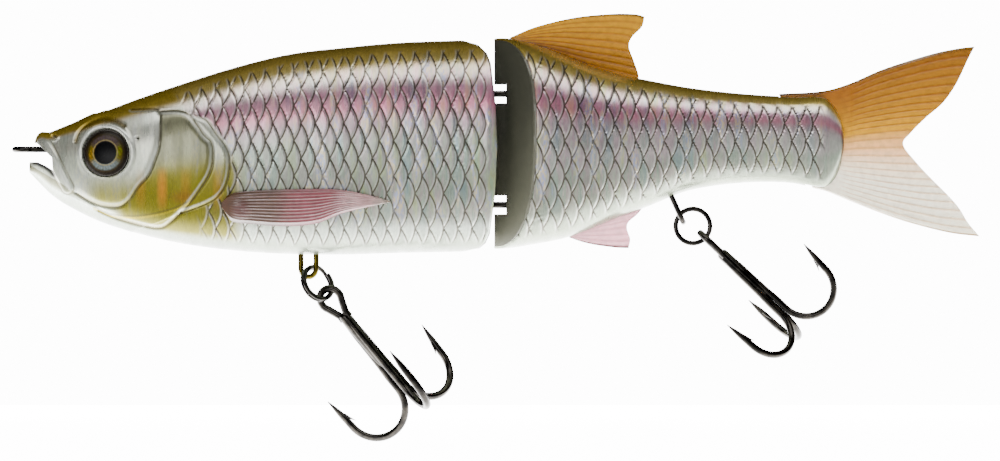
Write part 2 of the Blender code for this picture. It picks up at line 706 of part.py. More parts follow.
def build_pectoral_fins(material):
    """A fin on each side that follows the body's side, with a peg behind its boss."""
    for name, side in (("left_pectoral_fin", -1), ("right_pectoral_fin", 1)):
        rings = []
        root_x, tip_x = PECTORAL_TOP[0][0], PECTORAL_TOP[-1][0]
        for step in range(13):
            x = root_x + (tip_x - root_x) * (step / 12) ** 1.15
            top = table_value(PECTORAL_TOP, x)
            bottom = table_value(PECTORAL_BOTTOM, x)
            depth = PECTORAL_ROOT_DEPTH + (PECTORAL_TIP_DEPTH - PECTORAL_ROOT_DEPTH) * step / 12
            inner = []
            outer = []
            for part in range(5):
                z = top + (bottom - top) * part / 4
                skin = body_half_width(FRONT_OUTLINE, x, z) + WORK_GAP
                edge = 0.4 if part in (0, 4) else 1.0
                inner.append((x, side * skin, z))
                outer.append((x, side * (skin + depth * edge), z))
            rings.append(inner + outer[::-1])
        fin = object_from_mesh(name, loft_mesh(rings), material)
        x, z = PECTORAL_BOSS
        skin = body_half_width(FRONT_OUTLINE, x, z)
        boss_start = (x, side * (skin + 0.9), z)
        boss_end = (x, side * (skin + PECTORAL_BOSS_HEIGHT), z)
        boss = cylinder(f"{name}_boss_tool", boss_start, boss_end, PECTORAL_BOSS_RADIUS, segments=18)
        combine(fin, boss, "UNION")
        peg_start = (x, side * (skin - PECTORAL_PEG_LENGTH), z)
        peg_end = (x, side * (skin + PECTORAL_ROOT_DEPTH), z)
        peg = cylinder(f"{name}_peg_tool", peg_start, peg_end, PECTORAL_PEG_RADIUS, segments=12)
        combine(fin, peg, "UNION")


def build_seam_fins(back_material, belly_material):
    """Dorsal and anal fins, flat plates whose lower edges stand in the seam."""
    half = 0.5 * FIN_THICKNESS
    prism("dorsal_fin", DORSAL_OUTLINE, "Y", -half, half, back_material)
    prism("anal_fin", ANAL_OUTLINE, "Y", -half, half, belly_material)


def tail_share(x):
    """Thickness of the tail at x as a share of its root's."""
    tip = TAIL_TIP_HALF_THICKNESS / TAIL_HALF_THICKNESS
    way = min(max((x - TAIL_AXIS_X) / 24.0, 0.0), 1.0)
    return 1.0 + (tip - 1.0) * way


def build_tail(material, pin_material):
    """The tail's tongue in its slot, the blade that bends behind it, and the lock pin."""
    half = TAIL_HALF_THICKNESS
    root = prism("tail_root", TAIL_ROOT_OUTLINE, "Y", -half, half, material)
    axis_low = (TAIL_AXIS_X, 0.0, -14.0)
    axis_high = (TAIL_AXIS_X, 0.0, 16.0)
    combine(root, cylinder("tail_bend_tool", axis_low, axis_high, half + WORK_GAP, segments=24))
    x, z = TAIL_PIN
    hole = cylinder("tail_hole_tool", (x, -4.0, z), (x, 4.0, z), TAIL_PIN_RADIUS + WORK_GAP, segments=14)
    combine(root, hole)
    blade = prism("tail_blade", TAIL_BLADE_OUTLINE, "Y", -half, half, material, tail_share)
    roll_low = (TAIL_AXIS_X, 0.0, -9.7)
    roll_high = (TAIL_AXIS_X, 0.0, 12.3)
    combine(blade, cylinder("tail_roll_tool", roll_low, roll_high, half * 0.995, segments=24), "UNION")
    reach = TAIL_PIN_HALF_LENGTH
    pin = cylinder("tail_lock_pin", (x, -reach, z), (x, reach, z), TAIL_PIN_RADIUS, pin_material, 14)
    shade_smooth(pin)


def build_ballast(material):
    """Round slugs that lie low in each section."""
    slugs = list(zip(("front_ballast_fore", "front_ballast_aft"), FRONT_BALLAST))
    slugs.append(("rear_ballast", REAR_BALLAST))
    for name, (start, end, height, radius) in slugs:
        slug = cylinder(name, (start, 0, height), (end, 0, height), radius, material, 18)
        shade_smooth(slug)


def build_front_tackle(ring_material, hook_material):
    """Split ring and treble hook under the front section."""
    _, across = chain_frame(FRONT_RING_CHAIN)
    turn = math.radians(FRONT_RING_TURN_DEGREES)
    axis = across * math.cos(turn) + Vector((0, 1, 0)) * math.sin(turn)
    split_ring("front_split_ring", FRONT_RING_CENTRE, axis, ring_material)
    shank, shank_across = chain_frame(FRONT_SHANK)
    turn = math.radians(FRONT_EYE_TURN_DEGREES)
    eye_side = shank_across * math.cos(turn) + Vector((0, 1, 0)) * math.sin(turn)
    treble_hook("front_treble_hook", FRONT_EYE_TOP, shank, eye_side, shank_across, FRONT_PRONG_ANGLES, 1.0,
                hook_material)


def build_rear_tackle(ring_material, hook_material):
    """Split ring and treble hook under the rear section."""
    along, _ = chain_frame(REAR_CHAIN)
    wire = Vector((REAR_HANGER_BOTTOM[0], 0, REAR_HANGER_BOTTOM[1]))
    centre = wire + along * REAR_LINK_REACH
    split_ring("rear_split_ring", centre, (0, 1, 0), ring_material)
    shank, shank_across = chain_frame(REAR_SHANK)
    eye_top = centre + shank * REAR_LINK_REACH
    treble_hook("rear_treble_hook", eye_top, shank, Vector((0, 1, 0)), shank_across, REAR_PRONG_ANGLES,
                REAR_HOOK_SCALE, hook_material)


def build():
    """Build every piece of the swimbait."""
    clear_scene()
    skin = make_material("painted_shell", (0.72, 0.74, 0.72), 0.25)
    dark_wire = make_material("dark_wire", (0.16, 0.15, 0.14), 0.3, 1.0)
    nickel = make_material("black_nickel", (0.10, 0.10, 0.11), 0.25, 1.0)
    pin_steel = make_material("pin_steel", (0.45, 0.45, 0.46), 0.35, 1.0)
    lead = make_material("ballast_metal", (0.32, 0.33, 0.35), 0.5, 1.0)
    foil = make_material("eye_foil", (0.45, 0.42, 0.28), 0.3, 0.6)
    clear = make_material("eye_resin", (0.9, 0.92, 0.92), 0.05, 0.0, 0.9)
    amber = make_material("amber_fin", (0.66, 0.45, 0.12), 0.35)
    pink = make_material("pink_fin", (0.75, 0.55, 0.56), 0.4)
    mauve = make_material("mauve_fin", (0.58, 0.40, 0.42), 0.4)
    soft = make_material("soft_tail", (0.78, 0.60, 0.30), 0.4)
    tie_tool = build_line_tie(dark_wire)
    eye_tools = build_hinge_eyes(dark_wire)
    front_tool = build_front_hanger(dark_wire)
    rear_tool = build_rear_hanger(dark_wire)
    build_front_shells(skin, [tie_tool, front_tool, *eye_tools])
    build_rear_shells(skin, [rear_tool])
    build_hinge_pin(pin_steel)
    build_eyes(foil, clear)
    build_pectoral_fins(mauve)
    build_seam_fins(amber, pink)
    build_tail(soft, pin_steel)
    build_ballast(lead)
    build_front_tackle(nickel, nickel)
    build_rear_tackle(nickel, nickel)


build()
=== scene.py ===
"""Looks of a two-section swimbait, built over its CAD frame.

The frame is the CAD's own: +X runs to the tail, +Z is up, the fish's left side faces -Y and the
origin is the centre of the line tie's hole. Sizes in this file are millimetres unless a name says
otherwise, and meshes are scaled to metres when they are made.
"""

import math

import bpy
import numpy as np
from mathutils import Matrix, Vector


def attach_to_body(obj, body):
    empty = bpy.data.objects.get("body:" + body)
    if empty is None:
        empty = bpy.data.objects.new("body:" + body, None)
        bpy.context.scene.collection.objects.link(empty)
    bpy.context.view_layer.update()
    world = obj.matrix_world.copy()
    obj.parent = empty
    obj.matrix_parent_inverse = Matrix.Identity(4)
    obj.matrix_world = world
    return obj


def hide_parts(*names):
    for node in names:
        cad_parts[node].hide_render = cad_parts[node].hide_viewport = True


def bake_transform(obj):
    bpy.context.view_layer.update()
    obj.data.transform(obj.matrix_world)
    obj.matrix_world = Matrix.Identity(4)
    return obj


MM = 0.001
FULLER_COLOUR = 1.55

# Body outline, as in the CAD: X, back height, belly height, half width.
FRONT_OUTLINE = (
    (1.1, -2.6, -4.3, 1.3),
    (2.5, 2.6, -5.8, 2.5),
    (5.0, 3.3, -8.3, 4.3),
    (8.0, 4.5, -10.4, 6.2),
    (14.5, 6.9, -13.6, 8.5),
    (22.0, 9.7, -15.9, 10.2),
    (30.0, 12.4, -17.7, 11.2),
    (40.0, 15.5, -19.0, 12.0),
    (50.0, 17.9, -19.6, 12.6),
    (60.0, 19.1, -19.7, 12.9),
    (70.0, 20.0, -19.4, 13.0),
    (80.0, 20.4, -19.2, 12.9),
    (92.0, 20.6, -18.8, 12.9),
)
REAR_OUTLINE = (
    (86.0, 20.7, -18.7, 12.9),
    (91.0, 20.8, -18.5, 12.9),
    (96.0, 19.6, -17.7, 12.8),
    (101.5, 17.6, -16.6, 12.1),
    (106.5, 15.6, -14.8, 11.1),
    (111.5, 14.1, -12.7, 10.1),
    (117.0, 13.0, -10.7, 9.0),
    (124.0, 11.7, -7.9, 7.7),
    (131.0, 10.8, -6.6, 6.6),
    (138.0, 10.2, -6.1, 5.6),
    (144.0, 9.9, -6.3, 4.9),
    (150.0, 9.9, -7.3, 4.3),
    (151.8, 8.3, -6.1, 4.0),
    (153.1, 5.8, -3.4, 3.5),
    (153.7, 3.0, -0.4, 2.9),
)
WIDEST_LIFT = ((0.0, 0.05), (40.0, 0.2), (100.0, 0.2), (130.0, 0.1), (155.0, 0.05))
FULLNESS = ((0.0, 2.2), (30.0, 2.7), (100.0, 2.7), (130.0, 2.4), (155.0, 2.4))

# The joint between the two sections.
HINGE_X = 92.1
HINGE_EYE_HEIGHTS = (10.4, -10.4)
GROOVE_RADIUS = 4.9
NOSE_X = 87.8
NOSE_SLOPE = 0.62
END_EDGE = (
    (20.6, 82.2), (20.2, 83.6), (19.5, 85.3), (17.9, 86.9), (16.0, 87.6), (8.0, 88.5), (0.2, 88.8),
    (-8.0, 88.4), (-15.8, 87.4), (-17.6, 86.6), (-18.6, 85.4), (-19.2, 82.2),
)

# Scales: the free edges are arcs that bulge towards the tail and meet the next rows' arcs.
SCALE_PITCH = 2.66
SCALE_ROW = 3.28
SCALE_CURVE = 1.8
SCALE_APEX = (41.46, 4.84)

# Guides on the head, as (x, z) points of the side view.
PREOPERCLE = (
    (20.4, 7.4), (24.4, 7.5), (25.5, 6.8), (25.7, 3.7), (25.5, 0.6), (24.7, -1.9), (23.5, -4.7),
    (21.6, -6.9), (20.1, -9.1), (18.2, -10.5), (15.4, -10.5), (12.9, -9.7), (10.1, -8.1),
)
OPERCULUM = (
    (26.0, 7.0), (29.1, 7.1), (31.0, 6.5), (32.5, 4.6), (34.1, 2.4), (35.3, 1.2), (35.6, -1.3),
    (35.0, -4.4), (33.1, -7.5), (30.7, -10.6), (27.5, -13.7), (25.4, -14.7), (21.9, -14.1),
    (17.3, -12.8), (14.2, -11.4),
)
MEMBRANE = (
    (32.2, 6.3), (34.4, 5.2), (36.2, 2.8), (38.1, 0.3), (38.7, -1.9), (38.4, -5.3), (37.2, -8.1),
    (34.7, -10.0), (29.7, -11.9),
)
BROW = ((9.9, 1.5), (10.4, 3.0), (11.7, 4.3), (14.8, 5.6), (17.4, 5.2), (19.1, 4.3))
MAXILLA = ((3.1, 2.6), (4.3, 0.6), (5.8, -2.1), (7.2, -5.0), (8.4, -7.2))
LOWER_LIP = ((2.0, -2.5), (3.4, -3.0), (4.7, -3.8), (5.7, -4.8))
THROAT = ((13.6, -11.0), (16.6, -12.25), (20.8, -12.6), (24.9, -12.1), (28.5, -11.1), (30.8, -10.0))
HEAD_LINES = {
    "operculum": OPERCULUM, "preopercle": PREOPERCLE, "membrane": MEMBRANE, "brow": BROW, "maxilla": MAXILLA,
    "lip": LOWER_LIP, "throat": THROAT,
}
NOSTRIL = (5.8, 2.3)
CHEEK_DOT = (21.6, 2.0)
MOUTH = ((-3.0, 1.3), (2.5, 1.2), (5.4, -1.5), (5.6, -4.1), (4.1, -3.1), (2.6, -2.4), (-3.0, -2.4))
EYE_CENTRE = (15.68, -0.72)
EYE_TOE_DEGREES = 14.0
EYE_TILT_DEGREES = 5.0
HEAD_END = 46.0

# Fineness of the body grids.
FRONT_COLUMNS = 400
REAR_COLUMNS = 340
FINE_PITCH = 0.2
BODY_ROWS = 145
END_ROWS = 34
REAR_ROWS = 190
FRONT_FACE_ROWS = 18
REAR_FACE_ROWS = 14
NOSE_ROWS = 12

# Cuts through the skins. A pocket is a box round each hinge eye.
POCKET_FLOOR = ((80.0, -4.0), (94.8, -4.0), (94.8, 4.0), (80.0, 4.0))
POCKET_HALF_HEIGHT = 1.75
PIN_HOLE_RADIUS = 0.9
TAIL_SLOT = ((140.6, 13.0), (147.6, -10.0), (160.0, -10.0), (160.0, 13.0))
TAIL_SLOT_HALF = 1.5
MOUTH_HALF_WIDTH = 9.0

# Eyes, as distances from the pupil's middle and heights over the eye's own plane.
DOME_RADIUS = 4.2
DOME_CURVE = 4.42
DOME_BASE = -0.45
DOME_RISE = 1.35
PUPIL_RADIUS = 2.1
IRIS_RING = 2.34

# Fins, as outlines of (x, z).
PECTORAL_TOP = (
    (37.3, -9.9), (39.2, -8.3), (44.7, -7.7), (51.3, -7.5), (58.0, -7.5), (63.5, -8.3), (68.8, -9.7),
)
PECTORAL_BOTTOM = (
    (37.3, -10.9), (39.2, -13.4), (43.1, -14.0), (49.1, -14.4), (55.0, -13.9), (60.2, -11.9), (68.8, -9.9),
)
PECTORAL_BOSS = (41.0, -11.5)

# Wires, rings and hooks.
LOOP_RADIUS = 1.65
HANGER_RADIUS = 1.7
REAR_HANGER_TIP = Vector((123.65, 0, -13.65))
RING_RADIUS = 3.22
RING_WIRE = (0.3, 0.46)
RING_TURNS = 1.9
BEND_RADIUS = 5.9
BEND_CENTRE = (6.85, 17.2)
HOOK_WIRE = 0.7
HOOK_EYE_RADIUS = 2.1

# Stage. The floor is in millimetres and the rest in metres.
# A lamp is its name, place, target, size and watts.
# The floor glows at BACKDROP_GLOW in a band behind the body, a glowing patch that lights it from behind, and
# at FLOOR_GLOW elsewhere.
BACKDROP_GLOW = 14.0
FLOOR_GLOW = 0.35
FLOOR_LEVEL = -60.0
FLOOR_REACH = 9000.0
FLOOR_REAR = 1100.0
CAMERA_PLACE = (0.0893, -3.0, -0.0152)
CAMERA_LENS = 576.0
LAMPS = (
    ("top_softbox", (0.09, -0.45, 0.65), (0.09, 0.0, 0.0), (1.0, 0.4), 4.5),
    ("front_softbox", (-0.3, -0.9, -0.02), (0.09, 0.0, 0.0), (0.5, 0.4), 3.5),
    ("rear_softbox", (0.09, 1.1, 0.075), (0.09, 0.0, 0.0), (0.56, 0.27), 5.8),
)


# ---------------------------------------------------------------- numbers and curves

def linear(red, green, blue):
    """A colour given from 0 to 255 as linear light, made fuller because the view transform greys it."""
    out = []
    for part in (red, green, blue):
        share = part / 255.0
        out.append(share / 12.92 if share <= 0.04045 else ((share + 0.055) / 1.055) ** 2.4)
    grey = 0.21 * out[0] + 0.72 * out[1] + 0.07 * out[2]
    return tuple(max(0.0, grey + (part - grey) * FULLER_COLOUR) for part in out)


def smooth_curve(points, count):
    """Evenly spaced points on a smooth curve through the given points."""
    rows = np.array(points, float)
    rows = np.vstack([2 * rows[0] - rows[1], rows, 2 * rows[-1] - rows[-2]])
    parts = []
    for place in range(1, len(rows) - 2):
        t = np.linspace(0.0, 1.0, 24, endpoint=False)[:, None]
        a, b, c, d = rows[place - 1:place + 3]
        parts.append(0.5 * (2 * b + (c - a) * t + (2 * a - 5 * b + 4 * c - d) * t**2
                            + (3 * b - a - 3 * c + d) * t**3))
    parts.append(rows[-2:-1])
    return even_spacing(np.vstack(parts), count)


def even_spacing(points, count):
    """Points at equal steps along a polyline."""
    steps = np.linalg.norm(np.diff(points, axis=0), axis=1)
    along = np.concatenate([[0.0], np.cumsum(steps)])
    places = np.linspace(0.0, along[-1], count)
    return np.stack([np.interp(places, along, points[:, axis]) for axis in range(points.shape[1])], axis=1)


def corner_curve(points, count):
    """Evenly spaced points on the straight lines between the given points."""
    return even_spacing(np.array(points, float), count)


def outline_values(outline, column, x):
    """One column of a body outline at x, on the same smooth curve as in the CAD."""
    rows = np.array(outline, float)
    places = rows[:, 0]
    values = rows[:, column]
    x = np.clip(x, places[0], places[-1])
    low = np.clip(np.searchsorted(places, x, side="right") - 1, 0, len(places) - 2)
    chords = np.diff(values) / np.diff(places)
    slopes = np.empty(len(places))
    slopes[1:-1] = (values[2:] - values[:-2]) / (places[2:] - places[:-2])
    slopes[0], slopes[-1] = chords[0], chords[-1]
    span = places[low + 1] - places[low]
    t = (x - places[low]) / span
    blend = t * t * (3.0 - 2.0 * t)
    bend = t * (1.0 - t) ** 2 * slopes[low] + t * t * (t - 1.0) * slopes[low + 1]
    return values[low] + (values[low + 1] - values[low]) * blend + span * bend


def table_values(table, x):
    """Values read from an (x, value) table with straight lines between its rows."""
    return np.interp(x, [row[0] for row in table], [row[1] for row in table])


def sections(outline, x):
    """Back, belly, half width, widest height and fullness of the body at each x."""
    top, bottom, half = (outline_values(outline, column, x) for column in (1, 2, 3))
    widest = 0.5 * (top + bottom) + table_values(WIDEST_LIFT, x) * 0.5 * (top - bottom)
    return top, bottom, half, widest, table_values(FULLNESS, x)


def half_width(outline, x, z):
    """Distance from the middle plane to the body's side at (x, z)."""
    top, bottom, half, widest, full = sections(outline, np.asarray(x, float))
    height = np.where(z > widest, top - widest, widest - bottom)
    share = np.minimum(np.abs(z - widest) / height, 0.999)
    return half * (1.0 - share**full) ** (1.0 / full)


def section_points(outline, x, around):
    """(y, z) at equal steps round the section at each x. around runs from 0 at the back to 1."""
    top, bottom, half, widest, full = (part[..., None] for part in sections(outline, x))
    angle = np.linspace(0.0, 2.0 * math.pi, 1441)
    reach = np.abs(np.cos(angle)) ** (2.0 / full)
    height = np.where(np.cos(angle) > 0, top - widest, bottom - widest)
    y = half * np.sign(np.sin(angle)) * np.abs(np.sin(angle)) ** (2.0 / full)
    z = widest + reach * height
    steps = np.hypot(np.diff(y), np.diff(z))
    along = np.concatenate([np.zeros((len(y), 1)), np.cumsum(steps, axis=1)], axis=1)
    along /= along[:, -1:]
    ys = np.stack([np.interp(row_around, row, row_y) for row_around, row, row_y in zip(around, along, y)])
    zs = np.stack([np.interp(row_around, row, row_z) for row_around, row, row_z in zip(around, along, z)])
    return ys, zs


def spot_distance(spot, x, z):
    """Distance from a spot (x, z) in the side view."""
    return np.hypot(x - spot[0], z - spot[1])


def step_up(value, low, high):
    """0 below low, 1 above high and smooth between them."""
    t = np.clip((value - low) / (high - low), 0.0, 1.0)
    return t * t * (3.0 - 2.0 * t)


def bump(distance, width):
    """1 on a line and 0 beyond width from it."""
    return 1.0 - step_up(np.abs(distance), 0.0, width)


def line_distance(x, z, points):
    """Signed distance from (x, z) to a line: positive on its right-hand side as it is drawn."""
    line = smooth_curve(points, 90)
    best = np.full(x.shape, 1e9)
    sign = np.ones(x.shape)
    for (x0, z0), (x1, z1) in zip(line, line[1:]):
        dx, dz = x1 - x0, z1 - z0
        t = np.clip(((x - x0) * dx + (z - z0) * dz) / (dx * dx + dz * dz), 0.0, 1.0)
        away = np.hypot(x - x0 - t * dx, z - z0 - t * dz)
        nearer = away < best
        best = np.where(nearer, away, best)
        sign = np.where(nearer, np.sign((z - z0) * -dx + (x - x0) * dz), sign)
    return best * np.where(sign == 0, 1.0, sign)


# ---------------------------------------------------------------- scale pattern, for arrays and shaders

class ArrayMaths:
    """The calls that scale_pattern makes, on arrays."""

    floor = staticmethod(np.floor)
    power = staticmethod(np.power)
    smaller = staticmethod(np.minimum)

    @staticmethod
    def pick(first, second, a, b):
        """a where first is below second, else b."""
        return np.where(first < second, a, b)


class Signal:
    """A number in a shader, with arithmetic that adds Math nodes."""

    def __init__(self, tree, socket):
        self.tree = tree
        self.socket = socket

    def maths(self, operation, *others):
        """The result of a Math node whose first input is this number."""
        node = self.tree.nodes.new("ShaderNodeMath")
        node.operation = operation
        self.tree.links.new(self.socket, node.inputs[0])
        for slot, other in enumerate(others, start=1):
            if isinstance(other, Signal):
                self.tree.links.new(other.socket, node.inputs[slot])
            else:
                node.inputs[slot].default_value = other
        return Signal(self.tree, node.outputs[0])

    def __add__(self, other):
        return self.maths("ADD", other)

    def __radd__(self, other):
        return self.maths("ADD", other)

    def __sub__(self, other):
        return self.maths("SUBTRACT", other)

    def __rsub__(self, other):
        return self.maths("MULTIPLY", -1.0) + other

    def __mul__(self, other):
        return self.maths("MULTIPLY", other)

    def __rmul__(self, other):
        return self.maths("MULTIPLY", other)

    def __truediv__(self, other):
        return self.maths("DIVIDE", other)


class ShaderMaths:
    """The calls that scale_pattern makes, on Signals."""

    @staticmethod
    def floor(value):
        """The whole part."""
        return value.maths("FLOOR")

    @staticmethod
    def power(value, exponent):
        """The value raised to a number."""
        return value.maths("POWER", exponent)

    @staticmethod
    def smaller(first, second):
        """The lower of the two."""
        return first.maths("MINIMUM", second)

    @staticmethod
    def pick(first, second, a, b):
        """a where first is below second, else b."""
        chosen = first.maths("LESS_THAN", second)
        return b + (a - b) * chosen


def scale_pattern(x, z, maths):
    """Distance to the nearest scale edge, distance to the scale's own free edge, and its column and row."""
    half = 0.5 * SCALE_PITCH
    level = (z - SCALE_APEX[1]) / SCALE_ROW
    low = maths.floor(level)
    share = level - low
    odd = low - 2.0 * maths.floor(low / 2.0)
    near = (x - (half * odd - half * maths.power(share, SCALE_CURVE)) - SCALE_APEX[0]) / SCALE_PITCH
    shift = half * (1.0 - odd) - half * maths.power(1.0 - share, SCALE_CURVE)
    far = (x - shift - SCALE_APEX[0]) / SCALE_PITCH
    near_whole = maths.floor(near)
    far_whole = maths.floor(far)
    near_part = near - near_whole
    far_part = far - far_whole
    free_edge = maths.smaller(1.0 - near_part, 1.0 - far_part)
    edge = maths.smaller(free_edge, maths.smaller(near_part, far_part))
    column = maths.pick(1.0 - near_part, 1.0 - far_part, near_whole, far_whole)
    row = maths.pick(1.0 - near_part, 1.0 - far_part, low, low + 1.0)
    return edge * SCALE_PITCH, free_edge * SCALE_PITCH, column, row


# ---------------------------------------------------------------- meshes

def make_piece(name, points, faces, materials, smooth=True, face_materials=None):
    """An object from points in millimetres."""
    mesh = bpy.data.meshes.new(name)
    mesh.from_pydata((np.asarray(points) * MM).tolist(), [], [tuple(face) for face in faces])
    item = bpy.data.objects.new(name, mesh)
    bpy.context.scene.collection.objects.link(item)
    for material in materials:
        mesh.materials.append(material)
    mesh.polygons.foreach_set("use_smooth", [smooth] * len(mesh.polygons))
    if face_materials is not None:
        mesh.polygons.foreach_set("material_index", face_materials)
    mesh.update()
    return item


def grid_faces(rows, columns, closed=False, start=0):
    """Quads over a grid of points that are numbered row by row."""
    index = start + np.arange(rows * columns).reshape(rows, columns)
    if closed:
        index = np.concatenate([index, index[:, :1]], axis=1)
    quads = np.stack([index[:-1, :-1], index[:-1, 1:], index[1:, 1:], index[1:, :-1]], axis=-1)
    return quads.reshape(-1, 4).tolist()


def add_attribute(item, name, values):
    """Store one number or one colour at each point of the mesh."""
    values = np.asarray(values, np.float32)
    if values.ndim == 1:
        layer = item.data.attributes.new(name, "FLOAT", "POINT")
        layer.data.foreach_set("value", values)
        return
    layer = item.data.attributes.new(name, "FLOAT_COLOR", "POINT")
    layer.data.foreach_set("color", np.concatenate([values, np.ones((len(values), 1))], axis=1).ravel())


def keep_result(item):
    """Replace a piece's mesh by what its modifiers make of it."""
    solved = item.evaluated_get(bpy.context.evaluated_depsgraph_get())
    mesh = bpy.data.meshes.new_from_object(solved)
    item.modifiers.clear()
    item.data = mesh


def attach(piece, body, slot_name, *nodes):
    """Tie a piece to its body and hide the CAD nodes that it stands for. slot_name is not used."""
    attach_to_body(piece, body)
    if nodes:
        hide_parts(*nodes)


def cut(item, tools):
    """Subtract closed tools from a piece. Cut faces take the tool faces' material number."""
    for tool in tools:
        modifier = item.modifiers.new(tool.name, "BOOLEAN")
        modifier.operation = "DIFFERENCE"
        modifier.solver = "EXACT"
        modifier.object = tool
    keep_result(item)
    for tool in tools:
        bpy.data.objects.remove(tool, do_unlink=True)


def prism(name, outline, low, high, materials, face_material, axis="Y"):
    """A closed tool: an outline of (x, z) pulled along Y, or of (x, y) pulled along Z."""
    points = []
    for level in (low, high):
        for u, v in outline:
            points.append((u, level, v) if axis == "Y" else (u, v, level))
    count = len(outline)
    faces = [tuple(range(count)), tuple(range(2 * count - 1, count - 1, -1))]
    faces += [(i, i + count, (i + 1) % count + count, (i + 1) % count) for i in range(count)]
    tool = make_piece(name, points, faces, materials, False, [face_material] * len(faces))
    tool.data.update()
    outward(tool)
    return tool


def outward(item):
    """Turn every face of a closed piece to face outward."""
    mesh = item.data
    count = len(mesh.polygons)
    volume = 0.0
    for polygon in mesh.polygons:
        volume += polygon.center.dot(polygon.normal) * polygon.area
    if volume < 0 and count:
        mesh.flip_normals()


def tube(points, radii, sides=16, closed=False, normal=None):
    """Points and faces of a tube. radii holds a number or (along normal, across it) for each point."""
    line = [Vector(point) for point in points]
    count = len(line)
    sizes = radii if isinstance(radii, list) else [radii] * count
    normal = Vector(normal) if normal else (line[1] - line[0]).orthogonal()
    verts = []
    for place in range(count):
        before = line[place - 1] if closed or place else line[0]
        after = line[(place + 1) % count] if closed or place < count - 1 else line[-1]
        tangent = (after - before).normalized()
        normal = (normal - tangent * normal.dot(tangent)).normalized()
        binormal = tangent.cross(normal)
        size = sizes[place]
        wide, tall = size if isinstance(size, tuple) else (size, size)
        for step in range(sides):
            angle = 2.0 * math.pi * step / sides
            verts.append(line[place] + normal * (wide * math.cos(angle))
                         + binormal * (tall * math.sin(angle)))
    faces = grid_faces(count, sides, True)
    if closed:
        last = (count - 1) * sides
        for step in range(sides):
            after = (step + 1) % sides
            faces.append((last + step, last + after, after, step))
    else:
        faces.append(tuple(range(sides)))
        faces.append(tuple(range(count * sides - 1, (count - 1) * sides - 1, -1)))
    return [tuple(vert) for vert in verts], [tuple(face) for face in faces]


def join_parts(parts):
    """One list of points and faces from several."""
    points = []
    faces = []
    for part_points, part_faces in parts:
        start = len(points)
        points += part_points
        faces += [tuple(index + start for index in face) for face in part_faces]
    return points, faces


# ---------------------------------------------------------------- materials

def new_material(name, roughness, metallic=0.0, coat=0.0, transmission=0.0):
    """A material and its shader, with the plain numbers set."""
    material = bpy.data.materials.new(name)
    material.use_nodes = True
    shader = material.node_tree.nodes["Principled BSDF"]
    values = {"Roughness": roughness, "Metallic": metallic, "Coat Weight": coat, "Coat Roughness": 0.06,
              "Transmission Weight": transmission}
    for name, value in values.items():
        shader.inputs[name].default_value = value
    return material, material.node_tree, shader


def stretched_noise(tree, coords, scale, detail=3.0):
    """A noise value. scale holds the cells per metre along X, Y and Z."""
    stretch = tree.nodes.new("ShaderNodeVectorMath")
    stretch.operation = "MULTIPLY"
    stretch.inputs[1].default_value = scale
    tree.links.new(coords, stretch.inputs[0])
    noise = tree.nodes.new("ShaderNodeTexNoise")
    noise.inputs["Scale"].default_value = 1.0
    noise.inputs["Detail"].default_value = detail
    tree.links.new(stretch.outputs[0], noise.inputs["Vector"])
    return noise


def mixed(tree, factor, first, second, mode="MIX"):
    """A colour mix. Each of the inputs is a socket or plain values."""
    node = tree.nodes.new("ShaderNodeMix")
    node.data_type = "RGBA"
    node.blend_type = mode
    for socket, value in ((node.inputs[0], factor), (node.inputs[6], first), (node.inputs[7], second)):
        if isinstance(value, bpy.types.NodeSocket):
            tree.links.new(value, socket)
        elif isinstance(value, tuple):
            socket.default_value = (*value, 1.0)
        else:
            socket.default_value = value
    return node.outputs[2]


def stepped(tree, value, low, high, to_low=0.0, to_high=1.0):
    """A socket's value run from [low, high] to [to_low, to_high], and held beyond them."""
    node = tree.nodes.new("ShaderNodeMapRange")
    node.interpolation_type = "SMOOTHSTEP"
    for name, level in (("From Min", low), ("From Max", high), ("To Min", to_low), ("To Max", to_high)):
        node.inputs[name].default_value = level
    tree.links.new(value, node.inputs["Value"])
    return node.outputs["Result"]


def object_coords(tree):
    """The piece's own coordinates, in metres."""
    return tree.nodes.new("ShaderNodeTexCoord").outputs["Object"]


def two_tone(name, dark, light, roughness, metallic=0.0, coat=0.0, cells=(600, 600, 600)):
    """A plain finish whose colour and gloss wander a little between two tones."""
    material, tree, shader = new_material(name, roughness, metallic, coat)
    coords = object_coords(tree)
    noise = stretched_noise(tree, coords, cells)
    share = stepped(tree, noise.outputs["Fac"], 0.35, 0.65)
    tree.links.new(mixed(tree, share, linear(*dark), linear(*light)), shader.inputs["Base Color"])
    gloss = stepped(tree, noise.outputs["Fac"], 0.3, 0.7, roughness * 0.85, roughness * 1.2)
    tree.links.new(gloss, shader.inputs["Roughness"])
    return material


def attribute(tree, name):
    """The reader of a value stored at the mesh points."""
    node = tree.nodes.new("ShaderNodeAttribute")
    node.attribute_name = name
    return node


def brightened(tree, colour, level):
    """A colour multiplied by one level."""
    grey = tree.nodes.new("ShaderNodeCombineColor")
    for part in range(3):
        tree.links.new(level, grey.inputs[part])
    return mixed(tree, 1.0, colour, grey.outputs[0], "MULTIPLY")


def painted(name, roughness, metallic=0.0, coat=0.0, transmission=0.0, grain=0.12, cells=(900, 900, 900)):
    """A finish whose colour is stored at the mesh points, with fine grain over it."""
    material, tree, shader = new_material(name, roughness, metallic, coat, transmission)
    tint = attribute(tree, "tint")
    noise = stretched_noise(tree, object_coords(tree), cells)
    level = stepped(tree, noise.outputs["Fac"], 0.3, 0.7, 1.0 - grain, 1.0 + grain)
    tree.links.new(brightened(tree, tint.outputs["Color"], level), shader.inputs["Base Color"])
    return material


def less_shine(material, level):
    """The same material with weaker reflections."""
    material.node_tree.nodes["Principled BSDF"].inputs["Specular IOR Level"].default_value = level
    return material


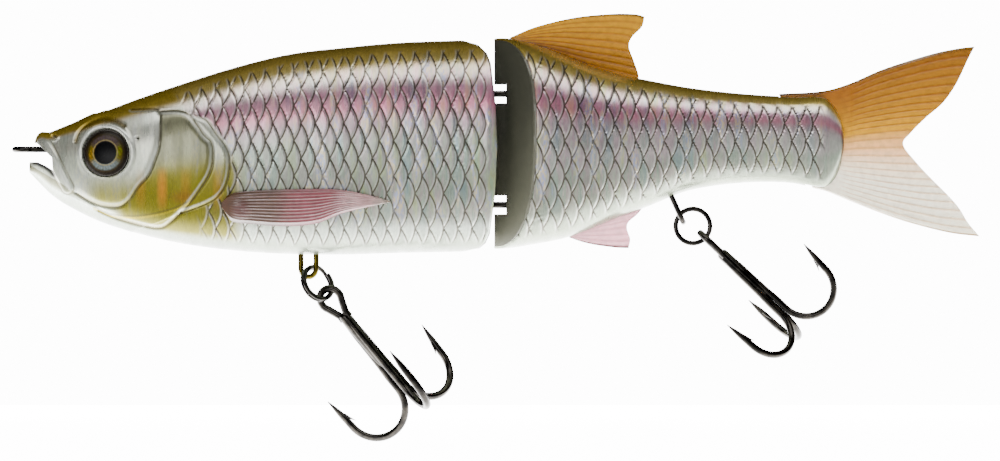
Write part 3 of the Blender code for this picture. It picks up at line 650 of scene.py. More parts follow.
RAINBOW_TONES = (
    (0.30, (150, 190, 235)), (0.42, (205, 215, 215)), (0.50, (225, 160, 205)), (0.58, (220, 214, 214)),
    (0.66, (228, 220, 130)), (0.76, (160, 220, 190)),
)


def rainbow(tree, value, strength):
    """A foil tint that runs through pink, yellow, green and blue as value runs from 0 to 1."""
    ramp = tree.nodes.new("ShaderNodeValToRGB")
    elements = ramp.color_ramp.elements
    while len(elements) < len(RAINBOW_TONES):
        elements.new(0.5)
    for element, (place, tone) in zip(elements, RAINBOW_TONES):
        element.position = place
        element.color = (*linear(*tone), 1.0)
    tree.links.new(value, ramp.inputs[0])
    return mixed(tree, strength, (1.0, 1.0, 1.0), ramp.outputs[0])


def scale_chance(tree, column, row):
    """A random number for each scale."""
    cell = tree.nodes.new("ShaderNodeCombineXYZ")
    tree.links.new(column.socket, cell.inputs[0])
    tree.links.new(row.socket, cell.inputs[1])
    chance = tree.nodes.new("ShaderNodeTexWhiteNoise")
    chance.noise_dimensions = "2D"
    tree.links.new(cell.outputs[0], chance.inputs["Vector"])
    return Signal(tree, chance.outputs["Value"])


def skin_material():
    """Foil paint with scale edges, a tint for each scale, upright streaks, painted glints, a painted
    highlight along each scale's free edge and fine grain.
    """
    material, tree, shader = new_material("painted_foil_skin", 0.3, 0.6, 0.15)
    coords = object_coords(tree)
    split = tree.nodes.new("ShaderNodeSeparateXYZ")
    tree.links.new(coords, split.inputs[0])
    x, z = (Signal(tree, split.outputs[axis]) * (1.0 / MM) for axis in ("X", "Z"))
    edge, free_edge, column, row = scale_pattern(x, z, ShaderMaths)
    scales, foil = (Signal(tree, attribute(tree, name).outputs["Fac"]) for name in ("scales", "foil"))
    chance = scale_chance(tree, column, row) - 0.5
    streak = stretched_noise(tree, coords, (620, 60, 75), 4.0).outputs["Fac"]
    fleck = stretched_noise(tree, coords, (2600, 900, 900), 2.0).outputs["Fac"]
    glint = stretched_noise(tree, coords, (560, 60, 95), 3.0).outputs["Fac"]

    hue = Signal(tree, streak) + chance * 0.1 * scales + (Signal(tree, fleck) - 0.5) * 0.12
    tint = attribute(tree, "tint").outputs["Color"]
    colour = mixed(tree, 1.0, tint, rainbow(tree, hue.socket, (foil * 0.4).socket), "MULTIPLY")
    # Painted glints: pale lavender and cream flecks in upright streaks over the foil, where the scale lines
    # also fade.
    tone = mixed(tree, stepped(tree, fleck, 0.45, 0.55), linear(196, 200, 226), linear(226, 214, 190))
    share = Signal(tree, stepped(tree, glint, 0.54, 0.68)) * foil * 0.75
    colour = mixed(tree, share.socket, colour, tone)
    light = Signal(tree, stepped(tree, fleck, 0.3, 0.7, 0.9, 1.1)) + chance * 0.3 * scales
    colour = brightened(tree, colour, light.socket)
    # A painted highlight: a pale band along each scale's free edge.
    pale = Signal(tree, stepped(tree, free_edge.socket, 0.28, 0.62, 1.0, 0.0)) * scales * 0.35
    colour = mixed(tree, pale.socket, colour, linear(236, 236, 232))
    dark = Signal(tree, stepped(tree, edge.socket, 0.1, 0.24, 1.0, 0.0)) * scales
    dark = dark * (share * -0.6 + 1.0) * 0.84
    colour = mixed(tree, dark.socket, colour, linear(64, 58, 48))
    tree.links.new(colour, shader.inputs["Base Color"])
    tree.links.new(stepped(tree, streak, 0.3, 0.7, 0.24, 0.38), shader.inputs["Roughness"])
    return material


# ---------------------------------------------------------------- body skins

# Colours from the belly (0) to the back (1). The cream-white strip from 0.83 to 0.87 is a painted highlight,
# the top light's reflection along the upper flank.
BACK_TO_BELLY = (
    (0.00, (104, 110, 98)), (0.05, (156, 162, 150)), (0.12, (206, 212, 203)), (0.19, (190, 196, 184)),
    (0.30, (164, 172, 160)), (0.52, (168, 176, 166)), (0.62, (176, 168, 168)), (0.70, (194, 150, 160)),
    (0.78, (186, 156, 166)), (0.83, (244, 236, 230)), (0.87, (248, 240, 222)), (0.91, (200, 186, 142)),
    (0.95, (184, 167, 120)), (1.00, (166, 148, 102)),
)
HEAD_SILVER = (198, 202, 190)
CHEEK_YELLOW = (120, 116, 0)
CHEEK_ORANGE = (176, 132, 0)
CHEEK_MAUVE = (126, 98, 56)
CROWN_OLIVE = (166, 148, 96)
CHEEK_OLIVE = (150, 146, 66)
PLATE_GREY = (108, 108, 88)
THROAT_YELLOW = (176, 164, 40)
BROW_OLIVE = (108, 94, 52)
LINE_DARK = (70, 64, 44)
# White of the head, also laid on as its painted highlights.
HEAD_WHITE_AND_HIGHLIGHT = (232, 235, 228)


def paint(colours, *layers):
    """Colours with each (tone, share) layer laid over the last."""
    for tone, share in layers:
        colours = colours + (np.array(linear(*tone)) - colours) * np.clip(np.ravel(share), 0.0, 1.0)[:, None]
    return colours


def plain(tone, count):
    """One tone at each of count points."""
    return np.tile(np.array(linear(*tone)), (count, 1))


def ramp_colours(table, share):
    """Colours read from a table of (place, tone)."""
    places = [row[0] for row in table]
    tones = np.array([linear(*row[1]) for row in table])
    return np.stack([np.interp(share, places, tones[:, part]) for part in range(3)], axis=1)


def height_share(outline, x, z):
    """0 at the belly and 1 at the back."""
    top, bottom = (outline_values(outline, column, x) for column in (1, 2))
    return np.clip((z - bottom) / (top - bottom), 0.0, 1.0)


def scale_mask(outline, x, z, start):
    """Where the scales show: behind the head, and not on the back's and the belly's last strips."""
    share = height_share(outline, x, z)
    top, bottom = (outline_values(outline, column, x) for column in (1, 2))
    mask = step_up(top - z, 1.5, 2.3) * step_up(z - bottom, 1.2, 2.4)
    return mask * start * np.where(share > 0.5, step_up(x, 27.0, 31.0), 1.0)


def scale_relief(x, z):
    """Height of the scales: each rises to its free edge, with a groove along every edge."""
    edge, free_edge, _, _ = scale_pattern(x, z, ArrayMaths)
    return 0.22 * (1.0 - free_edge / SCALE_PITCH) - 0.18 * bump(edge, 0.3) - 0.16


def lid_strength(x, z):
    """Strength of the fold round the eye, which fades below it."""
    return 0.55 + 0.45 * np.sin(np.arctan2(z - EYE_CENTRE[1], x - EYE_CENTRE[0]))


def head_relief(x, z, guides):
    """Height of the plates, folds and pits of the head."""
    radius = spot_distance(EYE_CENTRE, x, z)
    front = step_up(x, 8.0, 14.0) * (1.0 - step_up(z, 7.0, 7.9))
    height = 0.24 * step_up(guides["operculum"], -0.1, 1.2) * front
    height -= 0.2 * bump(guides["operculum"] + 0.15, 0.4)
    height += 0.2 * step_up(guides["preopercle"], -0.1, 1.2) * front
    height -= 0.2 * bump(guides["preopercle"] + 0.15, 0.4)
    height += 0.2 * step_up(guides["membrane"], -0.1, 0.9) * step_up(x, 16.0, 28.0) * front
    height -= 0.18 * bump(guides["membrane"] + 0.15, 0.35)
    height += 0.5 * lid_strength(x, z) * bump(radius - 5.0, 0.9)
    height -= 0.35 * bump(guides["brow"], 0.55)
    height += 0.35 * (1.0 - step_up(np.abs(guides["maxilla"]), 0.7, 1.2)) * (1.0 - step_up(z, 1.2, 2.4))
    nostril = spot_distance(NOSTRIL, x, z)
    height += 0.25 * bump(nostril - 0.75, 0.4) - 0.7 * bump(nostril, 0.6)
    height -= 1.5 * (1.0 - step_up(radius, 4.25, 4.5))
    return height - 0.3 * bump(spot_distance(CHEEK_DOT, x, z), 0.45)


def head_guides(x, z):
    """Signed distances to the head's guide lines, positive on the side of the snout."""
    return {name: line_distance(x, z, points) for name, points in HEAD_LINES.items()}


def head_start(x, z, guides):
    """0 over the head and 1 behind the gill membrane."""
    low = step_up(-guides["membrane"], 0.25, 0.9)
    under = step_up(x, 32.0, 36.0)
    above = step_up(x + 0.9 * (z - 7.0), 30.0, 33.0)
    return np.where(z > 6.0, above, np.where(z < -11.0, under, low * step_up(x, 30.0, 32.0)))


def head_colours(colours, x, z, guides, start):
    """The head's colours laid over the body's, with painted highlights above the gill cover and beside the
    plates' lines.
    """
    share = height_share(FRONT_OUTLINE, x, z)
    head = 1.0 - start
    off_back = 1.0 - step_up(share, 0.84, 0.9)
    silver = head * step_up(share, 0.1, 0.2) * off_back
    lit = step_up(x, 21.0, 24.0) * (1.0 - step_up(x, 24.5, 27.0)) * step_up(z, 0.0, 5.0)
    plate = step_up(-guides["preopercle"], 0.0, 0.5) * step_up(guides["operculum"], 0.0, 0.5)
    slope = z + 4.2 - 0.12 * (x - 24.0)
    yellow = step_up(-slope, -3.6, 2.2) * step_up(-guides["preopercle"], -0.1, 0.7)
    yellow = yellow * (1.0 - step_up(x, 38.5, 42.5))
    yellow *= step_up(share, 0.035, 0.085) * step_up(x, 15.5, 19.5)
    layers = [
        (HEAD_SILVER, 0.92 * silver),
        (CROWN_OLIVE, 0.8 * head * step_up(share, 0.85, 0.92)),
        # A painted highlight: a pale patch above the gill cover.
        (HEAD_WHITE_AND_HIGHLIGHT, 0.55 * lit * head * off_back),
        (CHEEK_OLIVE, 0.85 * silver * step_up(-z, 3.5, 9.0) * step_up(x, 10.0, 15.0)),
        (PLATE_GREY, 0.85 * plate * head * step_up(share, 0.1, 0.2)),
        (CHEEK_YELLOW, 0.96 * yellow),
    ]
    for middle, strength in ((22.2, 0.35), (26.2, 0.95), (30.6, 0.35), (36.6, 0.35)):
        patch_share = bump((x - middle) / 1.15, 1.0) ** 0.5 * bump((z + 7.4) / 4.4, 1.0) ** 0.6
        layers.append((CHEEK_ORANGE, strength * patch_share))
    mauve = bump(np.hypot((x - 30.2) / 3.8, (z + 9.0) / 2.0), 1.0)
    layers.append((CHEEK_MAUVE, 0.75 * mauve * step_up(guides["operculum"], 0.2, 0.8)))
    shown = 1.0 - step_up(z, 7.4, 8.0)
    # Dark lines along the plates' edges, each with a painted highlight, a thin pale line, beside it.
    for name, strength in (("operculum", 0.95), ("preopercle", 0.85), ("membrane", 0.85)):
        layers.append((LINE_DARK, strength * shown * bump(guides[name] + 0.12, 0.26) ** 0.5))
        layers.append((HEAD_WHITE_AND_HIGHLIGHT, 0.45 * shown * bump(guides[name] - 0.4, 0.3)))
    return paint(colours, *layers, *face_layers(x, z, guides))


def face_layers(x, z, guides):
    """Paint layers round the eye, mouth, throat and nostril, with a painted highlight along the maxilla."""
    radius = spot_distance(EYE_CENTRE, x, z)
    below_tip = 1.0 - step_up(z, 0.8, 2.2)
    streak = bump(x - 20.9 - 0.1 * (z - 2.0), 0.75) * bump(z - 1.6, 4.2) ** 0.5
    return (
        (HEAD_WHITE_AND_HIGHLIGHT, 0.9 * lid_strength(x, z) * bump(radius - 5.0, 0.7)),
        (BROW_OLIVE, 0.8 * bump(guides["brow"], 0.8)),
        # A painted highlight along the maxilla plate.
        (HEAD_WHITE_AND_HIGHLIGHT, 0.6 * below_tip * bump(guides["maxilla"] + 0.3, 0.8)),
        (LINE_DARK, 0.75 * below_tip * bump(np.abs(guides["maxilla"]) - 1.2, 0.26) ** 0.7),
        (THROAT_YELLOW, 0.7 * bump(guides["throat"] - 0.25, 0.35)),
        (LINE_DARK, 0.6 * bump(guides["throat"] + 0.1, 0.26) ** 0.5),
        (HEAD_WHITE_AND_HIGHLIGHT, 0.85 * streak),
        ((20, 18, 16), bump(guides["lip"], 0.55) ** 0.5),
        ((40, 38, 34), bump(spot_distance(NOSTRIL, x, z), 0.7)),
        ((30, 28, 26), 1.4 * bump(spot_distance(CHEEK_DOT, x, z), 0.42)),
        ((24, 22, 20), 1.0 - step_up(radius, 4.2, 4.4)),
    )


def grid_normals(points):
    """Outward unit normals of a grid of points that is closed along its second axis."""
    along = np.gradient(points, axis=0)
    around = np.roll(points, -1, axis=1) - np.roll(points, 1, axis=1)
    normals = np.cross(along, around)
    lengths = np.linalg.norm(normals, axis=2, keepdims=True)
    return normals / np.maximum(lengths, 1e-9)


def place_rows(outline, x, around):
    """Points (x, y, z) for a grid of x values, one row of x for each station."""
    ys = np.empty(x.shape)
    zs = np.empty(x.shape)
    columns = np.arange(x.shape[1])
    for row in range(len(x)):
        if np.ptp(x[row]) < 1e-9:
            y, z = section_points(outline, x[row, :1], around[None, :])
            ys[row], zs[row] = y[0], z[0]
            continue
        levels = np.linspace(x[row].min(), x[row].max(), 13)
        y, z = section_points(outline, levels, np.repeat(around[None, :], len(levels), axis=0))
        place = (x[row] - levels[0]) / (levels[1] - levels[0])
        low = np.clip(np.floor(place).astype(int), 0, len(levels) - 2)
        part = place - low
        ys[row] = y[low, columns] * (1 - part) + y[low + 1, columns] * part
        zs[row] = z[low, columns] * (1 - part) + z[low + 1, columns] * part
    return np.stack([x, ys, zs], axis=2)


def round_edge(points, rows, distance, radius):
    """Draw in some rows of a grid so that the edge at the end of them is rounded."""
    reach = np.clip(radius - distance, 0.0, radius)
    inset = radius - np.sqrt(radius**2 - reach**2)
    normals = grid_normals(points)[rows]
    normals[..., 0] = 0.0
    points[rows] -= normals * inset[..., None]
    return points


def face_rows(edge, depth, steps):
    """Rows from an end's edge to its middle line. depth gives x from (y, z)."""
    rows = []
    for step in range(1, steps + 1):
        share = math.cos(0.5 * math.pi * step / steps)
        y = edge[:, 1] * share
        rows.append(np.stack([depth(y, edge[:, 2]), y, edge[:, 2]], axis=1))
    return np.array(rows)


def skin_piece(name, points, extra_first, extra_last, materials, colour_of, relief_of):
    """A closed skin from its side grid and the rows that close its two ends."""
    normals = grid_normals(points)
    flat = points.reshape(-1, 3)
    relief, scales, foil = relief_of(flat[:, 0], flat[:, 2])
    flat = flat + normals.reshape(-1, 3) * relief[:, None]
    colours = colour_of(flat[:, 0], flat[:, 2])
    columns = points.shape[1]
    everything = np.concatenate([flat, extra_first.reshape(-1, 3), extra_last.reshape(-1, 3)])
    faces = grid_faces(points.shape[0], columns, True)
    sides = len(faces)
    index = len(flat)
    for extra, edge_row, turned in ((extra_first, 0, True), (extra_last, points.shape[0] - 1, False)):
        edge = list(range(edge_row * columns, (edge_row + 1) * columns))
        for row in range(len(extra)):
            ring = list(range(index + row * columns, index + (row + 1) * columns))
            for place in range(columns):
                after = (place + 1) % columns
                face = (edge[place], edge[after], ring[after], ring[place])
                faces.append(face[::-1] if turned else face)
            edge = ring
        index += len(extra) * columns
    count = len(everything) - len(flat)
    numbers = [0] * sides + [1] * (len(faces) - sides)
    item = make_piece(name, everything, faces, materials, True, numbers)
    add_attribute(item, "tint", np.concatenate([colours, plain((58, 60, 54), count)]))
    add_attribute(item, "scales", np.concatenate([scales, np.zeros(count)]))
    add_attribute(item, "foil", np.concatenate([foil, np.zeros(count)]))
    weld(item)
    outward(item)
    return item


def weld(item):
    """Merge points that lie together."""
    modifier = item.modifiers.new("weld", "WELD")
    modifier.merge_threshold = 0.01 * MM
    keep_result(item)


def front_grid():
    """Side grid of the front section, whose last rows run to the rounded end edge."""
    around = np.arange(FRONT_COLUMNS) / FRONT_COLUMNS
    heads = np.concatenate([np.linspace(1.1, 3.0, 24, endpoint=False), np.arange(3.0, 40.0, FINE_PITCH),
                            np.linspace(40.0, 80.0, BODY_ROWS)])
    x = np.repeat(heads[:, None], len(around), axis=1)
    _, z = section_points(FRONT_OUTLINE, np.array([84.0]), around[None, :])
    edge = np.array(sorted(END_EDGE))
    end = np.interp(z[0], edge[:, 0], edge[:, 1])
    shares = 1.0 - (1.0 - np.linspace(0.0, 1.0, END_ROWS)[1:]) ** 1.6
    tail = 80.0 + (end - 80.0)[None, :] * shares[:, None]
    points = place_rows(FRONT_OUTLINE, np.concatenate([x, tail]), around)
    rows = slice(-len(shares), None)
    return round_edge(points, rows, end[None, :] - points[rows, :, 0], 0.5)


def front_face_depth(y, z):
    """X of the front section's end face: slightly full, with the round groove for the nose."""
    edge = np.array(sorted(END_EDGE))
    plain = np.interp(z, edge[:, 0], edge[:, 1])
    groove = HINGE_X - np.sqrt(np.maximum(GROOVE_RADIUS**2 - y**2, 0.0))
    return np.minimum(plain, np.where(np.abs(y) < GROOVE_RADIUS, groove, plain))


def section_foil(outline, x, z, strength):
    """Foil strength on the flanks."""
    share = height_share(outline, x, z)
    return step_up(share, 0.08, 0.25) * (1.0 - step_up(share, 0.86, 0.95)) * strength


def front_relief(x, z):
    """Relief, scale mask and foil strength over the front section."""
    near = x < HEAD_END
    guides = head_guides(x[near], z[near])
    start = head_start(x, z, {"membrane": spread_near(guides["membrane"], near)})
    mask = scale_mask(FRONT_OUTLINE, x, z, start) * (1.0 - step_up(x, 86.4, 87.2))
    relief = mask * scale_relief(x, z)
    relief[near] += head_relief(x[near], z[near], guides)
    foil = section_foil(FRONT_OUTLINE, x, z, 0.45 + 0.5 * step_up(x, 40.0, 70.0)) * (0.25 + 0.75 * start)
    return relief, mask, foil


def spread_near(values, near):
    """Values given where near is true, and a distance well behind the head elsewhere."""
    everywhere = np.full(near.shape, -9.0)
    everywhere[near] = values
    return everywhere


def front_colours(x, z):
    """Colours over the front section."""
    colours = ramp_colours(BACK_TO_BELLY, height_share(FRONT_OUTLINE, x, z))
    near = x < HEAD_END
    x, z = x[near], z[near]
    guides = head_guides(x, z)
    colours[near] = head_colours(colours[near], x, z, guides, head_start(x, z, guides))
    return colours


def build_front_skin(materials):
    """The front section in one piece, with the mouth cut through the snout."""
    points = front_grid()
    nose = points[0].mean(axis=0)
    first = np.repeat(nose[None, None, :], points.shape[1], axis=1)
    last = face_rows(points[-1], front_face_depth, FRONT_FACE_ROWS)
    piece = skin_piece("front_section_skin", points, first, last, materials, front_colours, front_relief)
    cut(piece, [prism("mouth_cutter", MOUTH, -MOUTH_HALF_WIDTH, MOUTH_HALF_WIDTH, materials, 2)])
    piece.data.set_sharp_from_angle(angle=math.radians(50))
    attach(piece, "front_section", "painted_shell", "front_shell_left", "front_shell_right")


def rear_grid():
    """Side grid of the rear section, which starts along the edge of its V-shaped nose."""
    around = np.arange(REAR_COLUMNS) / REAR_COLUMNS
    start = np.full(len(around), 92.0)
    for _ in range(8):
        y = place_rows(REAR_OUTLINE, start[None, :], around)[0, :, 1]
        start = 0.5 * start + 0.5 * (NOSE_X + 0.3 + NOSE_SLOPE * np.abs(y))
    shares = np.linspace(0.0, 1.0, NOSE_ROWS) ** 1.6
    nose = start[None, :] + (98.0 - start)[None, :] * shares[:, None]
    body = np.repeat(np.linspace(98.0, 150.0, REAR_ROWS)[1:, None], len(around), axis=1)
    end = 150.0 + 3.7 * np.sin(np.linspace(0.0, 0.5 * math.pi, 22))
    end = np.repeat(end[1:, None], len(around), axis=1)
    points = place_rows(REAR_OUTLINE, np.concatenate([nose, body, end]), around)
    rows = slice(0, NOSE_ROWS)
    return round_edge(points, rows, points[rows, :, 0] - start[None, :], 0.4)


def rear_nose_depth(y, _):
    """X of the V-shaped nose's faces, a little rounded where they meet."""
    return NOSE_X + 0.3 + NOSE_SLOPE * np.sqrt(y**2 + 0.16) - 0.12


def rear_relief(x, z):
    """Relief, scale mask and foil strength over the rear section."""
    mask = scale_mask(REAR_OUTLINE, x, z, np.ones(x.shape)) * (1.0 - step_up(x, 149.0, 150.5))
    foil = section_foil(REAR_OUTLINE, x, z, 0.95 - 0.45 * step_up(x, 125.0, 145.0))
    foil *= 1.0 - step_up(x, 150.0, 152.0)
    return mask * scale_relief(x, z), mask, foil


def rear_colours(x, z):
    """Colours over the rear section: greyer below, lighter on the flank, dark at the tail's seam."""
    share = height_share(REAR_OUTLINE, x, z)
    return paint(
        ramp_colours(BACK_TO_BELLY, share),
        ((140, 146, 130), 0.6 * (1.0 - step_up(share, 0.12, 0.3))),
        ((214, 206, 206), 0.4 * step_up(share, 0.3, 0.45) * (1.0 - step_up(share, 0.6, 0.75))),
        ((84, 76, 66), 0.8 * step_up(x, 153.0, 153.5)),
    )


def build_rear_skin(materials):
    """The rear section in one piece, with pockets for the hinge eyes and the slot for the tail."""
    points = rear_grid()
    first = face_rows(points[0], rear_nose_depth, REAR_FACE_ROWS)
    middle = points[-1].mean(axis=0)
    last = np.array([points[-1] * (1.0 - share) + middle * share for share in (0.35, 0.7, 1.0)])
    piece = skin_piece("rear_section_skin", points, first, last, materials, rear_colours, rear_relief)
    tools = []
    for number, height in enumerate(HINGE_EYE_HEIGHTS):
        tools.append(prism(f"pocket_cutter_{number}", POCKET_FLOOR, height - POCKET_HALF_HEIGHT,
                           height + POCKET_HALF_HEIGHT, materials, 1, "Z"))
    hole = [(HINGE_X + PIN_HOLE_RADIUS * math.cos(angle), PIN_HOLE_RADIUS * math.sin(angle))
            for angle in np.arange(16) * math.pi / 8]
    tools.append(prism("pin_hole_cutter", hole, -25.0, -17.0, materials, 2, "Z"))
    tools.append(prism("tail_slot_cutter", TAIL_SLOT, -TAIL_SLOT_HALF, TAIL_SLOT_HALF, materials, 2))
    cut(piece, tools)
    piece.data.set_sharp_from_angle(angle=math.radians(50))
    attach(piece, "rear_section", "painted_shell", "rear_shell_left", "rear_shell_right")


# ---------------------------------------------------------------- eyes

def eye_frame(side):
    """Centre of an eye, the direction that it faces and its two other directions (tailward and up)."""
    toe = math.radians(EYE_TOE_DEGREES)
    tilt = math.radians(EYE_TILT_DEGREES)
    x, z = EYE_CENTRE
    depth = float(half_width(FRONT_OUTLINE, np.array([x]), np.array([z]))[0])
    facing = Vector((-math.sin(toe), side * math.cos(toe) * math.cos(tilt), math.sin(tilt))).normalized()
    up = Vector((0, 0, 1))
    up = (up - facing * up.dot(facing)).normalized()
    tailward = Vector((1, 0, 0))
    tailward = (tailward - facing * tailward.dot(facing) - up * tailward.dot(up)).normalized()
    return Vector((x, side * depth, z)), facing, tailward, up


def eye_colours(radius, angle):
    """Pupil, cream ring, streaked iris and dark rim. angle is 0 tailward and a quarter turn up."""
    top = 0.5 + 0.5 * np.sin(angle)
    colours = plain((92, 84, 44), len(radius))
    spots = bump(np.sin(angle * 9.0 + radius * 4.0) * np.sin(radius * 6.5 + angle * 5.0) - 0.7, 0.6)
    spot_tone = np.where(np.cos(angle)[:, None] > 0.0, linear(118, 130, 40), linear(152, 118, 66))
    colours = colours + (spot_tone - colours) * (0.8 * spots)[:, None]
    streaks = 0.5 + 0.5 * np.sin(angle * 47.0 + 2.0 * np.sin(angle * 13.0))
    return paint(
        colours,
        ((70, 62, 66), step_up(top, 0.62, 0.85)),
        ((118, 126, 128), 1.0 - step_up(top, 0.1, 0.34)),
        ((70, 64, 40), 0.45 * streaks),
        ((44, 38, 28), step_up(radius, 3.0, 3.5)),
        ((150, 140, 112), 0.7 * bump(radius - IRIS_RING, 0.2)),
        ((6, 6, 7), 1.0 - step_up(radius, PUPIL_RADIUS, 2.22)),
        ((28, 24, 20), step_up(radius, 3.6, 3.75)),
    )


def build_eyes(eye, rim):
    """A glossy domed eye in each socket, with a dark rim."""
    for name, side in (("left", -1), ("right", 1)):
        centre, facing, tailward, up = eye_frame(side)
        radii = np.concatenate([np.linspace(0.02, DOME_RADIUS, 44), [DOME_RADIUS, DOME_RADIUS]])
        heights = DOME_BASE + DOME_RISE * np.sqrt(np.maximum(1.0 - (radii / DOME_CURVE) ** 2, 0.0))
        heights[-2:] = (-0.6, -1.6)
        angles = np.arange(120) * 2.0 * math.pi / 120
        spots = []
        for radius, height in zip(radii, heights):
            for angle in angles:
                spots.append(centre + tailward * (radius * math.cos(angle)) + up * (radius * math.sin(angle))
                             + facing * height)
        faces = grid_faces(len(radii), len(angles), True)
        faces.append(tuple(range(len(angles))))
        faces.append(tuple(range(len(spots) - 1, len(spots) - len(angles) - 1, -1)))
        piece = make_piece(f"{name}_eye", [tuple(spot) for spot in spots], faces, [eye])
        outward(piece)
        add_attribute(piece, "tint", eye_colours(np.repeat(radii, len(angles)), np.tile(angles, len(radii))))
        attach(piece, "front_section", "eye_resin", f"{name}_eye_iris", f"{name}_eye_lens")
        middle = centre - facing * 0.2
        ring = [middle + tailward * (DOME_RADIUS * math.cos(angle)) + up * (DOME_RADIUS * math.sin(angle))
                for angle in angles[::2]]
        circle = make_piece(f"{name}_eye_rim", *tube(ring, 0.18, 10, True, facing), [rim])
        attach(circle, "front_section", "eye_foil")


# ---------------------------------------------------------------- fins

def patch(front, rear, base, top, columns, rows):
    """A grid of (x, z) between four edges, and how far each point is from front to rear and base to top."""
    s = np.linspace(0.0, 1.0, columns)[:, None, None]
    t = np.linspace(0.0, 1.0, rows)[None, :, None]
    left = front(rows)[None, :, :]
    right = rear(rows)[None, :, :]
    low = base(columns)[:, None, :]
    high = top(columns)[:, None, :]
    corners = (1 - t) * ((1 - s) * low[:1] + s * low[-1:]) + t * ((1 - s) * high[:1] + s * high[-1:])
    grid = (1 - s) * left + s * right + (1 - t) * low + t * high - corners
    return grid, s[..., 0] * np.ones((1, rows)), t[..., 0] * np.ones((columns, 1))


def edge_of(points, smooth=True):
    """A fin edge that can be asked for any number of points."""
    return lambda count: smooth_curve(points, count) if smooth else corner_curve(points, count)


def plate(name, grid, half, material, colours, middle=0.0):
    """A thin closed plate over a grid of (x, z), with half its thickness at each point."""
    columns, rows = grid.shape[:2]
    sheets = []
    for side in (-1.0, 1.0):
        y = middle + side * half
        sheets.append(np.stack([grid[..., 0], y, grid[..., 1]], axis=2).reshape(-1, 3))
    count = columns * rows
    faces = grid_faces(columns, rows) + [face[::-1] for face in grid_faces(columns, rows, start=count)]
    index = np.arange(count).reshape(columns, rows)
    border = np.concatenate([index[:, 0], index[-1, 1:], index[-2::-1, -1], index[0, -2:0:-1]])
    for near, far in zip(border, np.roll(border, -1)):
        faces.append((int(far), int(near), int(near) + count, int(far) + count))
    item = make_piece(name, np.concatenate(sheets), faces, [material])
    outward(item)
    add_attribute(item, "tint", np.tile(colours, (2, 1)))
    item.data.set_sharp_from_angle(angle=math.radians(60))
    return item


def wave(value, count):
    """1 on each of count evenly spaced lines and 0 between them."""
    return 0.5 + 0.5 * np.cos(2.0 * math.pi * count * value)


def build_dorsal_fin(material):
    """The back fin, with dark lines that follow its upper edge."""
    base = ((91.0, 19.6), (98.0, 17.6), (106.0, 14.6), (114.9, 12.2))
    top = ((91.2, 21.0), (96.1, 23.0), (103.2, 24.7), (110.2, 25.4), (114.6, 25.35), (116.4, 24.9))
    front = (base[0], top[0])
    rear = (base[-1], (115.3, 13.8), (114.4, 16.6), (113.5, 19.2), (114.0, 21.0), (115.9, 23.0), top[-1])
    grid, s, t = patch(edge_of(front), edge_of(rear), edge_of(base), edge_of(top), 130, 90)
    lines = wave(t, 9.0) ** 3
    half = 0.62 - 0.42 * t**0.8 + 0.07 * lines * (1 - t)
    piece = plate("dorsal_fin_blade", grid, half, material, paint(
        plain((142, 108, 0), s.size),
        ((160, 126, 0), step_up(t, 0.5, 0.9)),
        ((96, 58, 4), 0.85 * lines * (0.5 + 0.5 * (1.0 - s))),
        ((82, 54, 0), (1.0 - step_up(t, 0.25, 0.5)) * (1.0 - 0.6 * s)),
        ((76, 56, 20), step_up(t, 0.955, 0.99)),
    ))
    attach(piece, "rear_section", "amber_fin", "dorsal_fin")


def build_anal_fin(material):
    """The small fin under the rear section, with lines along it."""
    base = ((103.0, -14.6), (108.0, -12.8), (116.4, -10.4))
    bottom = ((102.3, -16.5), (104.6, -17.3), (107.2, -17.9), (111.0, -18.4), (113.4, -18.5))
    front = (base[0], bottom[0])
    rear = (base[-1], (115.1, -12.1), (113.4, -13.6), (113.1, -14.9), (113.7, -16.8), bottom[-1])
    grid, s, t = patch(edge_of(front), edge_of(rear), edge_of(base), edge_of(bottom), 80, 50)
    rays = wave(t, 7.0) ** 3
    half = 0.6 - 0.38 * t + 0.06 * rays
    piece = plate("anal_fin_blade", grid, half, material, paint(
        plain((226, 188, 194), s.size),
        ((176, 130, 140), 0.5 * rays),
        ((110, 84, 84), step_up(t, 0.93, 0.98)),
        ((120, 90, 92), 1.0 - step_up(s, 0.01, 0.04)),
    ))
    attach(piece, "rear_section", "pink_fin", "anal_fin")


TAIL_TONES = (
    (0.0, (108, 76, 0)), (0.10, (128, 94, 0)), (0.28, (152, 116, 0)), (0.42, (184, 146, 46)),
    (0.52, (220, 184, 150)), (0.62, (244, 230, 210)), (0.75, (254, 250, 238)), (1.0, (254, 250, 236)),
)


